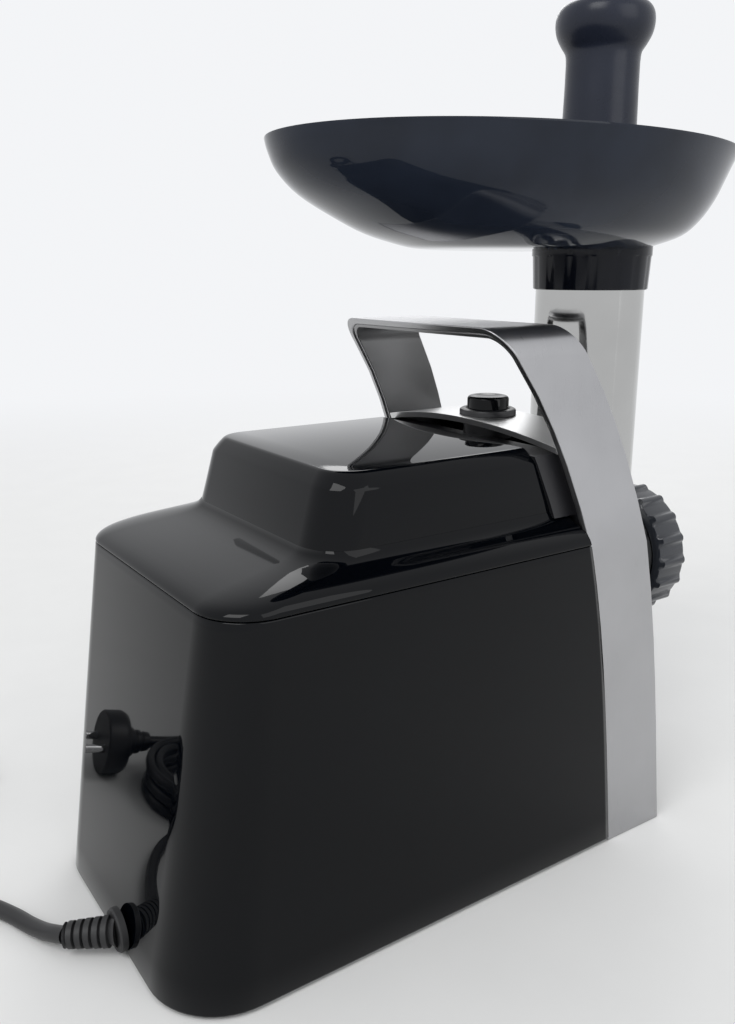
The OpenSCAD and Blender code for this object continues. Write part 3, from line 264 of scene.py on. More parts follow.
def loft(name: str, rows: Sequence[Sequence[Point]], round_rows: bool = False,
         round_ends: bool = False, caps: bool = False) -> bpy.types.Object:
    """Joins rows of equal length with four-sided faces.

    Args:
        name: The piece's name.
        rows: The rows of points, in millimetres.
        round_rows: Each row closes on itself.
        round_ends: The last row joins the first.
        caps: The first and last rows are closed with a face each.

    Returns:
        The lofted object.
    """
    wide = len(rows[0])
    faces = []
    for i in range(len(rows) if round_ends else len(rows) - 1):
        a, b = i * wide, (i + 1) % len(rows) * wide
        for j in range(wide if round_rows else wide - 1):
            k = (j + 1) % wide
            faces.append((a + j, a + k, b + k, b + j))
    if caps:
        faces += [range(wide), range((len(rows) - 1) * wide, len(rows) * wide)]
    return solid_from(name, [p for row in rows for p in row], faces)


def lathe(name: str, profile: Sequence[Flat], place: Callable[[float, float, float], Point],
          steps: int = 96) -> bpy.types.Object:
    """Turns a closed profile round an axis.

    Args:
        name: The piece's name.
        profile: Radius and height of each corner; it closes on itself or on the axis.
        place: Gives the point for two offsets across the axis and one along it.
        steps: Steps in a full turn.

    Returns:
        The turned object.
    """
    rows = []
    for i in range(steps):
        a = 2 * math.pi * i / steps
        rows.append([place(r * math.cos(a), r * math.sin(a), h) for r, h in profile])
    return loft(name, rows, round_rows=True, round_ends=True)


def upright(x: float, y: float) -> Callable[[float, float, float], Point]:
    """Places a turned piece on an upright axis at x and y."""
    return lambda u, v, h: (x + u, y + v, h)


def lengthwise(x: float, z: float) -> Callable[[float, float, float], Point]:
    """Places a turned piece on an axis along Y at x and z."""
    return lambda u, v, h: (x + u, h, z + v)


def smooth_line(points: Sequence[Sequence[float]], steps: int) -> list[tuple[float, ...]]:
    """Draws a smooth line through points.

    Args:
        points: The points it passes through.
        steps: New points for each stretch.

    Returns:
        The points of the line.
    """
    line = []
    last = len(points) - 1
    for i in range(last):
        near = [points[max(0, min(last, k))] for k in (i - 1, i, i + 1, i + 2)]
        for s in range(steps):
            t = s / steps
            line.append(tuple(
                0.5 * (2 * b + (c - a) * t + (2 * a - 5 * b + 4 * c - d) * t * t
                       + (3 * b - a - 3 * c + d) * t ** 3)
                for a, b, c, d in zip(*near)))
    line.append(tuple(points[last]))
    return line


def soften(piece: bpy.types.Object, width: float, angle: float = 30.0,
           segments: int = 3) -> bpy.types.Object:
    """Rounds the sharp edges of a piece and smooths its faces.

    Args:
        piece: The mesh object.
        width: Width of the rounding in millimetres, or 0 for none.
        angle: Edges sharper than this many degrees are rounded.
        segments: Faces across the rounding.

    Returns:
        The same object.
    """
    piece.data.shade_smooth()
    if width > 0:
        bevel = piece.modifiers.new("edges", "BEVEL")
        bevel.width = width * MM
        bevel.segments = segments
        bevel.limit_method = "ANGLE"
        bevel.angle_limit = math.radians(angle)
        normals = piece.modifiers.new("normals", "WEIGHTED_NORMAL")
        normals.keep_sharp = True
    else:
        piece.data.set_sharp_from_angle(angle=math.radians(angle))
    return piece


def carve(piece: bpy.types.Object, tools: Sequence[bpy.types.Object], way: str) -> bpy.types.Object:
    """Adds tool shapes to a piece or cuts them out of it, and removes the tools.

    Args:
        piece: The mesh object that changes.
        tools: The shapes to add or cut.
        way: UNION or DIFFERENCE.

    Returns:
        The same object with its new mesh.
    """
    for tool in tools:
        step = piece.modifiers.new("carve", "BOOLEAN")
        step.operation = way
        step.solver = "EXACT"
        step.object = tool
        ready = bpy.context.evaluated_depsgraph_get()
        mesh = bpy.data.meshes.new_from_object(piece.evaluated_get(ready))
        piece.modifiers.clear()
        piece.data = mesh
        bpy.data.objects.remove(tool)
    return piece


def dress(piece: bpy.types.Object, finish: Finish, body: str,
          nodes: Sequence[str] = ()) -> bpy.types.Object:
    """Gives a piece its finish, its body and the CAD nodes that it stands for.

    Args:
        piece: The object.
        finish: The finish of its whole surface.
        body: The CAD body it rides on.
        nodes: CAD nodes that it replaces.

    Returns:
        The same object.
    """
    piece.data.materials.clear()
    piece.data.materials.append(finish.material())
    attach(piece, body)
    if nodes:
        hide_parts(*nodes)
    LOG.info("%s rides on %s", piece.name, body)
    return piece


# ------------------------------------------------------------------ shared lines


def cubic(points: Sequence[Flat], t: float) -> Flat:
    """A point on a four-point curve at share t."""
    weights = ((1 - t) ** 3, 3 * t * (1 - t) ** 2, 3 * t * t * (1 - t), t ** 3)
    return tuple(sum(w * p[i] for w, p in zip(weights, points)) for i in (0, 1))


@dataclass(frozen=True)
class HoopLines:
    """The side curves and the arch of the hoop, shared by the pieces that meet it."""

    rear: tuple = ((-56.4, 0), (-47, 90), (-41, 190), (15, 250))
    front: tuple = ((-93, 0), (-83, 90), (-75, 190), (-27, 250))
    foot_half: float = 74.5
    mid_half: float = 72.0
    mid_z: float = 150.0
    lean: float = 0.134
    top: float = 248.0
    corner: float = 14.0
    halvings: int = 30
    leg_heights: tuple = (0, 25, 50, 75, 100, 125, 150, 170, 190, 205, 220)
    bend_steps: int = 12
    crown_shares: Flat = (0.6, 0.2)

    def side(self, curve: tuple, z: float) -> float:
        """Depth of a side curve at a height.

        Args:
            curve: The curve's four points.
            z: The height in millimetres.

        Returns:
            The Y of the curve there.
        """
        low, high = 0.0, 1.0
        for _ in range(self.halvings):
            middle = (low + high) / 2
            low, high = (middle, high) if cubic(curve, middle)[1] < z else (low, middle)
        return cubic(curve, low)[0]

    def rear_y(self, z: float) -> float:
        """Depth of the hoop's rear edge at a height."""
        return self.side(self.rear, z)

    def front_y(self, z: float) -> float:
        """Depth of the hoop's front edge at a height."""
        return self.side(self.front, z)

    def half_at(self, z: float) -> float:
        """Outer half width of the straight legs at a height.

        Args:
            z: The height in millimetres.

        Returns:
            The half width there.
        """
        if z < self.mid_z:
            share = z / self.mid_z
            return self.foot_half + (self.mid_half - self.foot_half) * share
        return self.mid_half - (z - self.mid_z) * self.lean

    def arch(self, inset: float) -> list[Flat]:
        """The arch from the left foot over the top to the right foot.

        Args:
            inset: How far it is moved in.

        Returns:
            The X and Z of its points.
        """
        tilt = math.atan(self.lean)
        corner_z = self.top - self.corner
        corner_x = self.half_at(corner_z) - self.corner / math.cos(tilt)
        legs = [(self.half_at(z) - inset, z) for z in self.leg_heights]
        bend = []
        for i in range(self.bend_steps + 1):
            a = tilt + i * (math.pi / 2 - tilt) / self.bend_steps
            bend.append((corner_x + (self.corner - inset) * math.cos(a),
                         corner_z + (self.corner - inset) * math.sin(a)))
        crown = [(corner_x * s, self.top - inset) for s in self.crown_shares]
        right = legs + bend + crown
        return [(-x, z) for x, z in right] + right[::-1]


LINES = HoopLines()


# ------------------------------------------------------------------ cord


@dataclass
class MainsCord:
    """The cord from its strain relief along the table into a coil, and its plug."""

    diameter: float = 7.0
    boot_start: Point = (-14, 169.8, 10.5)
    boot_end: Point = (-2.816, 186.381, 8.5)
    route: tuple = (
        (2, 189, 7.2), (9, 192, 5.2), (18, 195.5, 3.9), (28, 199.5, 3.6), (40, 206, 3.6),
        (51, 214, 3.6), (60, 224, 3.6), (66, 236, 3.6), (69, 249, 3.6), (70, 263, 3.6))
    coil_centre: Flat = (112, 277)
    lanes: tuple = ((42, 3.6), (35, 3.6), (35, 10.5), (42, 10.5), (35, 17.5), (42, 17.5))
    turns: float = 5.5
    turn_steps: int = 40
    shift_arc: float = 85.0
    shift_ahead: float = 45.0
    boot_r: float = 6.3
    boot_bore: float = 3.4
    boot_ribs: int = 5
    rib_depth: float = 1.3
    flange_y: Flat = (166.8, 169.9)
    flange_r: float = 9.0
    tail: tuple = ((154, 263, 17.6), (154, 255, 17.8), (154, 247, 18))
    plug_z: float = 18.4

    def lane(self, travelled: float) -> Flat:
        """Radius and height of the coil after some degrees of winding.

        Args:
            travelled: Degrees wound so far.

        Returns:
            The radius and height of the cord's middle there.
        """
        radius, height = self.lanes[0]
        for i in range(1, len(self.lanes)):
            start = 360 * i - self.shift_arc - self.shift_ahead * (i - 1)
            share = min(1.0, max(0.0, (travelled - start) / self.shift_arc))
            ease = (1 - math.cos(math.pi * share)) / 2
            radius += (self.lanes[i][0] - self.lanes[i - 1][0]) * ease
            height += (self.lanes[i][1] - self.lanes[i - 1][1]) * ease
        return radius, height

    def coil(self) -> list[Point]:
        """Winds the middle line of the coil's turns.

        Returns:
            The points of that line.
        """
        points = []
        steps = int(self.turns * self.turn_steps)
        for i in range(steps + 1):
            travelled = 360 * self.turns * i / steps
            a = math.radians(180 - travelled)
            radius, height = self.lane(travelled)
            points.append((self.coil_centre[0] + radius * math.cos(a),
                           self.coil_centre[1] + radius * math.sin(a), height))
        return points

    def build_line(self) -> bpy.types.Object:
        """Builds the whole cord as one round line.

        Returns:
            The curve object of the cord.
        """
        start = smooth_line([self.boot_end, *self.route, self.coil()[0], self.coil()[1]], 4)[:-5]
        end = smooth_line([self.coil()[-1], *self.tail], 3)[1:]
        points = start + self.coil() + end
        curve = bpy.data.curves.new("mains_cord", "CURVE")
        curve.dimensions = "3D"
        curve.bevel_depth = self.diameter / 2 * MM
        curve.bevel_resolution = 5
        curve.use_fill_caps = True
        line = curve.splines.new("POLY")
        line.points.add(len(points) - 1)
        for target, p in zip(line.points, points):
            target.co = (p[0] * MM, p[1] * MM, p[2] * MM, 1)
        line.use_smooth = True
        piece = add_object("mains_cord", curve)
        return dress(piece, JACKET_BLACK, "root",
                     ["power_cord", "cord_coil", "cord_tail"])

    def build_boot(self) -> bpy.types.Object:
        """Builds the ribbed, tapered strain relief and its flange.

        Returns:
            The boot's mesh object.
        """
        start, end = Vector(self.boot_start), Vector(self.boot_end)
        ahead = (end - start).normalized()
        side = ahead.cross(Vector((0, 0, 1))).normalized()
        up = side.cross(ahead)
        length = (end - start).length
        profile = [(self.boot_bore, -1.5), (self.boot_r, -1.5)]
        for i in range(self.boot_ribs):
            low, high = length * (0.08 + i * 0.18), length * (0.19 + i * 0.18)
            wide = self.boot_r - 0.22 * i
            narrow = wide - self.rib_depth
            profile += [(narrow, low - 0.5), (wide, low), (wide, high), (narrow, high + 0.5)]
        profile += [(5.1, length - 0.2), (4.6, length), (self.boot_bore, length)]
        piece = lathe("strain_relief", profile,
                      lambda u, v, h: tuple(start + ahead * h + side * u + up * v), 40)
        inner, outer = self.flange_y
        flange = lathe("flange", [(0, inner), (self.flange_r, inner), (self.flange_r, outer - 0.7),
                                  (self.flange_r - 0.6, outer), (0, outer)],
                       lengthwise(self.boot_start[0], self.boot_start[2]), 48)
        soften(carve(piece, [flange], "UNION"), 0.25, 40, 2)
        return dress(piece, RUBBER_BLACK, "root", ["cord_gland"])

    def build_tie(self) -> bpy.types.Object:
        """Builds the flat tie that holds the coil's turns.

        Returns:
            The tie's mesh object.
        """
        x, y = self.coil_centre
        inner, outer, top, thick, half = 31.5, 45.5, 21.0, 0.9, 3.2
        ring = [(y + inner - thick, 0.05), (y + outer + thick, 0.05),
                (y + outer + thick, top + thick), (y + inner - thick, top + thick)]
        hole = [(y + inner + 0.1, 0.5), (y + outer - 0.1, 0.5), (y + outer - 0.1, top - 0.1),
                (y + inner + 0.1, top - 0.1)]
        rows = []
        for outline, shift in ((ring, half), (ring, -half), (hole, -half), (hole, half)):
            rows.append([(x + shift, py, pz) for py, pz in outline])
        piece = soften(loft("cord_tie_band", rows, round_rows=True, round_ends=True), 0.3, 40, 2)
        return dress(piece, SATIN_BLACK, "root", ["cord_tie"])

    def build_plug(self) -> bpy.types.Object:
        """Builds the round plug with its tapered neck and grip grooves.

        Returns:
            The plug's mesh object.
        """
        x, y = self.tail[-1][0], self.tail[-1][1]
        reach = [(0, 0), (4.8, 0), (5.4, -1), (6.0, -6), (5.4, -6.8), (5.6, -8), (6.7, -8.8),
                 (7.1, -12), (6.6, -12.8), (6.8, -14), (8.2, -15), (9.4, -19), (13.2, -20.5),
                 (16.4, -22), (17.6, -24.5), (18.4, -27), (18.4, -38.6), (17.6, -40), (0, -40)]
        piece = lathe("plug_shell", [(r, y + h) for r, h in reach], lengthwise(x, self.plug_z), 72)
        soften(piece, 0.5, 35, 2)
        return dress(piece, JACKET_BLACK, "root", ["plug_body"])

    def build(self) -> None:
        line = self.build_line()
        boot = self.build_boot()
        tie = self.build_tie()
        plug = self.build_plug()


# ------------------------------------------------------------------ housing


@dataclass
class Housing:
    """The glossy black lower shell and the stepped cover above it."""

    half: float = 75.0
    rear: float = 167.0
    corner: float = 32.0
    shoulder_half: float = 72.5
    shoulder_rear: float = 144.0
    shoulder_corner: float = 22.0
    base_z: float = 1.5
    shoulder_z: float = 154.0
    block_z: float = 166.0
    block_tuck: float = 1.4
    deck_z: float = 197.0
    block_half: float = 60.0
    block_rear: float = 97.0
    block_corner: float = 18.0
    block_gap: float = 10.0
    wall: float = 2.5
    hoop_gap: float = 0.35
    arc_steps: int = 14
    feet: tuple = ((51, 143), (-51, 143), (55, -69), (-55, -69))
    foot_r: float = 9.0
    foot_stem_r: float = 4.5

    def loop(self, half: float, rear: float, corner: float, z: float, front: float) -> list[Point]:
        """The plan of the body at one height, open at the front.

        Args:
            half: Half width.
            rear: Depth of the rear face.
            corner: Radius of the rear corners.
            z: The height.
            front: Depth of the front ends.

        Returns:
            Points from the left front end round the rear to the right front end.
        """
        side = rear - corner
        left = [(-half, front + (side - front) * s, z) for s in (0, 0.012, 0.3, 0.7)]
        arc = []
        for i in range(self.arc_steps + 1):
            a = math.radians(180 - 90 * i / self.arc_steps)
            arc.append((-half + corner + corner * math.cos(a), side + corner * math.sin(a), z))
        right = [(-x, y, z) for x, y, _ in reversed(left + arc)]
        return left + arc + right

    def lower_loop(self, z: float, inset: float) -> list[Point]:
        """The lower shell's plan at a height.

        Args:
            z: The height.
            inset: How far it is moved in.

        Returns:
            The points of that plan.
        """
        share = (z - self.base_z) / (self.shoulder_z - self.base_z)
        half, rear, corner = (
            foot + (rim - foot) * share - inset
            for foot, rim in ((self.half, self.shoulder_half), (self.rear, self.shoulder_rear),
                              (self.corner, self.shoulder_corner)))
        return self.loop(half, rear, corner, z, LINES.rear_y(z) + self.hoop_gap)

    def build_lower(self) -> bpy.types.Object:
        """Builds the lower shell with its wall and rounded rims.

        Returns:
            The shell's mesh object.
        """
        top = self.shoulder_z
        outside = [(self.base_z, 1.0), (self.base_z + 0.35, 0.3), (self.base_z + 1.1, 0)]
        outside += [(z, 0) for z in (15, 35, 55, 75, 95, 115, 135, 150)]
        outside += [(top - 0.8, 0), (top - 0.5, 0.08), (top - 0.25, 0.3), (top - 0.15, 0.7)]
        inside = [(top - 0.15, self.wall), (self.base_z, self.wall)]
        rows = [self.lower_loop(z, inset) for z, inset in outside + inside]
        piece = soften(loft("housing_shell", rows, round_ends=True), 0, 50)
        self.close_fronts(piece)
        return dress(piece, PIANO_BLACK, "root", ["lower_body"])

    @staticmethod
    def close_fronts(piece: bpy.types.Object) -> None:
        """Closes the open ends of a lofted wall.

        Args:
            piece: The wall's mesh object.
        """
        work = bmesh.new()
        work.from_mesh(piece.data)
        bmesh.ops.holes_fill(work, edges=[e for e in work.edges if e.is_boundary], sides=0)
        bmesh.ops.recalc_face_normals(work, faces=work.faces)
        work.to_mesh(piece.data)
        work.free()

    def capped(self, name: str, rows: Sequence[Sequence[Point]]) -> bpy.types.Object:
        """Lofts open rows and closes the top, the bottom and the front.

        Args:
            name: The piece's name.
            rows: The rows from the lowest up.

        Returns:
            The closed mesh object.
        """
        wide = len(rows[0])
        points = [p for row in rows for p in row]
        faces = []
        for i in range(len(rows) - 1):
            a, b = i * wide, (i + 1) * wide
            faces += [(a + j, a + j + 1, b + j + 1, b + j) for j in range(wide - 1)]
            faces.append((a, b, b + wide - 1, a + wide - 1))
        for start in (0, (len(rows) - 1) * wide):
            faces += [(start + j, start + j + 1, start + wide - 2 - j, start + wide - 1 - j)
                      for j in range(wide // 2 - 1)]
        return solid_from(name, points, faces)

    def build_shoulder(self) -> bpy.types.Object:
        """Builds the sloping shoulder between the lower shell and the block.

        Returns:
            The shoulder's mesh object.
        """
        run = ((0.0, -0.05, 0.9), (0.0, 0.08, 0.4), (0.0, 0.3, 0.1), (0.0, 0.7, 0.0),
               (0.004, 1.3, 0.0), (0.014, 1.9, 0.0), (0.032, 2.45, 0.0), (0.06, 2.9, 0.0),
               (0.1, 3.2, 0.0), (0.16, 3.35, 0.0), (0.26, 3.3, 0.0), (0.4, 2.95, 0.0),
               (0.55, 2.4, 0.0), (0.7, 1.9, 0.0), (0.8, 1.65, 0.0), (0.88, 1.7, 0.0),
               (0.94, 2.0, 0.0), (0.98, 2.7, 0.0), (1.01, 3.9, 0.0))
        rows = [self.shoulder_loop(share, lift, inset) for share, lift, inset in run]
        piece = soften(self.capped("cover_shoulder", rows), 0, 50)
        return dress(piece, PIANO_BLACK, "root", ["upper_cover"])

    def shoulder_loop(self, share: float, lift: float, inset: float) -> list[Point]:
        """The shoulder's plan at a share of the way from its rim to the block.

        Args:
            share: 0 at the rim and 1 at the block's foot.
            lift: Height added above the straight slope.
            inset: How far it is moved in.

        Returns:
            The points of that plan.
        """
        z = self.shoulder_z + (self.block_z - self.block_tuck - self.shoulder_z) * share + lift
        half, rear, corner = (
            rim + (foot - rim) * share - inset
            for rim, foot in ((self.shoulder_half, self.block_half),
                              (self.shoulder_rear, self.block_rear),
                              (self.shoulder_corner, self.block_corner)))
        return self.loop(half, rear, corner, z, LINES.rear_y(z) + self.hoop_gap)

    def build_block(self) -> bpy.types.Object:
        """Builds the raised block with its rounded bevel and flat deck.

        Returns:
            The block's mesh object.
        """
        foot = (self.block_half, self.block_rear, self.block_corner)
        plan = [(self.block_z - 6, *foot), (self.block_z, *foot), (178, 58.8, 93.6, 17.1),
                (190.2, 57.6, 90.25, 16.1), (190.9, 57.45, 89.95, 16.0), (191.5, 57.15, 89.6, 15.9),
                (192.6, 56.5, 88.85, 15.6), (194.6, 55.2, 87.3, 14.9), (196.2, 53.9, 85.9, 14.3),
                (196.8, 53.1, 85.1, 13.9), (self.deck_z, 52.0, 84.1, 13.4)]
        rows = [self.loop(half, rear, corner, z, LINES.rear_y(z) + self.block_gap)
                for z, half, rear, corner in plan]
        piece = soften(self.capped("cover_block", rows), 0, 40)
        return dress(piece, PIANO_BLACK, "root")

    def build_feet(self) -> bpy.types.Object:
        """Builds the four rubber feet.

        Returns:
            The feet as one mesh object.
        """
        profile = [(0, 0), (self.foot_r - 1, 0), (self.foot_r - 0.2, 0.5),
                   (self.foot_r, self.base_z), (self.foot_stem_r, self.base_z),
                   (self.foot_stem_r, 5), (0, 5)]
        feet = [lathe(f"foot_{i}", profile, upright(x, y), 40)
                for i, (x, y) in enumerate(self.feet)]
        piece = soften(carve(feet[0], feet[1:], "UNION"), 0, 40)
        piece.name = "rubber_foot_set"
        return dress(piece, RUBBER_BLACK, "root", ["rubber_feet"])

    def build(self) -> None:
        """Builds the housing's pieces."""
        self.build_lower()
        self.build_shoulder()
        self.build_block()
        self.build_feet()


# ------------------------------------------------------------------ hoop handle


@dataclass
class HoopHandle:
    """The satin metal hoop, its liner and the arch bridge with the release button."""

    skin: float = 3.0
    liner: float = 1.6
    bridge_z: float = 197.0
    bridge_rise: float = 6.0
    bridge_thick: float = 3.0
    button_y: float = -35.0
    button_r: float = 10.0
    bezel_r: float = 13.6
    bezel_flange: float = 3.0
    socket_r: float = 11.6
    socket_depth: float = 11.0
    button_rise: float = 6.0
    stem_r: float = 3.0
    bridge_hole_r: float = 11.8
    bridge_steps: int = 32
    spring_span: Flat = (193.7, 203.9)
    spring_r: float = 6.5
    spring_wire: float = 0.6
    spring_turns: int = 4
    spring_steps: int = 20
    wire_sides: int = 8

    def band(self, name: str, outer: float, inner: float, set_in: float) -> bpy.types.Object:
        """Builds a band along the arch between two insets.

        Args:
            name: The piece's name.
            outer: Inset of its outer face.
            inner: Inset of its inner face.
            set_in: How far its edges lie inside the hoop's side curves.

        Returns:
            The band's mesh object.
        """
        rows = []
        for (xo, zo), (xi, zi) in zip(LINES.arch(outer), LINES.arch(inner)):
            front_o, rear_o = LINES.front_y(zo) + set_in, LINES.rear_y(zo) - set_in
            front_i, rear_i = LINES.front_y(zi) + set_in, LINES.rear_y(zi) - set_in
            rows.append([(xo, front_o, zo), (xo, rear_o, zo), (xi, rear_i, zi), (xi, front_i, zi)])
        return loft(name, rows, round_rows=True, caps=True)

    def build_bands(self) -> None:
        """Builds the outer skin and the liner inside it."""
        skin = soften(self.band("hoop_skin", 0, self.skin, 0), 0.8, 40, 3)
        dress(skin, SATIN_SILVER, "root", ["handle_hoop"])
        inner = self.skin + self.liner
        liner = soften(self.band("hoop_liner", self.skin + 0.05, inner, 0.9), 0.4, 40, 2)
        dress(liner, LINER_SILVER, "root", ["handle_liner"])

    def build_bridge(self) -> bpy.types.Object:
        """Builds the arched strip between the hoop's legs.

        Returns:
            The strip's mesh object.
        """
        reach = LINES.half_at(self.bridge_z) - self.skin - self.liner - 0.05
        radius = (reach * reach + self.bridge_rise ** 2) / (2 * self.bridge_rise)
        centre = self.bridge_z + self.bridge_rise - radius
        rows = []
        for i in range(self.bridge_steps + 1):
            x = -reach + 2 * reach * i / self.bridge_steps
            high = centre + math.sqrt(radius ** 2 - x * x)
            low = high - self.bridge_thick
            rows.append([(x, LINES.front_y(high) + 1.5, high), (x, LINES.rear_y(high) - 1.0, high),
                         (x, LINES.rear_y(low) - 1.0, low), (x, LINES.front_y(low) + 1.5, low)])
        piece = loft("bridge_strip", rows, round_rows=True, caps=True)
        hole_r = self.bridge_hole_r
        hole = lathe("hole", [(0, 180), (hole_r, 180), (hole_r, 220), (0, 220)],
                     upright(0, self.button_y), 64)
        soften(carve(piece, [hole], "DIFFERENCE"), 0.6, 40, 3)
        return dress(piece, BRIDGE_SILVER, "root", ["arch_bridge"])

    def build_button(self) -> None:
        """Builds the round bezel and the release button in it."""
        low = self.bridge_z + self.bridge_rise
        top = low + self.bezel_flange
        floor = low - self.socket_depth
        here = upright(0, self.button_y)
        bezel = [(10.3, floor + 1.6), (3.3, floor + 1.6), (3.3, floor), (self.socket_r, floor),
                 (self.socket_r, low), (self.bezel_r, low), (self.bezel_r, top - 1.2),
                 (self.bezel_r - 0.4, top - 0.4), (self.bezel_r - 1.2, top), (10.9, top),
                 (10.3, top - 0.6)]
        ring = soften(lathe("button_ring", bezel, here, 72), 0, 35)
        dress(ring, SATIN_BLACK, "root", ["button_bezel"])
        crown = top + self.button_rise
        cap = [(0, 175.3), (self.stem_r, 175.3), (self.stem_r, top - 2), (self.button_r, top - 2),
               (self.button_r, crown - 1.4), (9.6, crown - 0.6), (8.9, crown - 0.15), (8.0, crown),
               (6.5, crown - 0.25), (3.5, crown - 0.6), (0, crown - 0.7)]
        button = soften(lathe("release_cap", cap, here, 72), 0, 35)
        dress(button, PIANO_BLACK, "release_button", ["release_button"])

    def build_spring(self) -> bpy.types.Object:
        """Builds the spring under the button.

        Returns:
            The spring's mesh object.
        """
        low, high = self.spring_span
        steps = self.spring_turns * self.spring_steps
        rows = []
        for i in range(steps + 1):
            a = 2 * math.pi * i / self.spring_steps
            middle = low + self.spring_wire + (high - low - 2 * self.spring_wire) * i / steps
            row = []
            for k in range(self.wire_sides):
                b = 2 * math.pi * k / self.wire_sides
                reach = self.spring_r + self.spring_wire * math.cos(b)
                row.append((reach * math.cos(a), self.button_y + reach * math.sin(a),
                            middle + self.spring_wire * math.sin(b)))
            rows.append(row)
        piece = soften(loft("button_spring_wire", rows, round_rows=True, caps=True), 0, 50)
        dress(piece, MACHINED_STEEL, "root", ["button_spring"])
        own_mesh(piece)
        return piece

    def build(self) -> None:
        """Builds the hoop's pieces."""
        self.build_bands()
        self.build_bridge()
        self.build_button()
        self.build_spring()


# ------------------------------------------------------------------ head


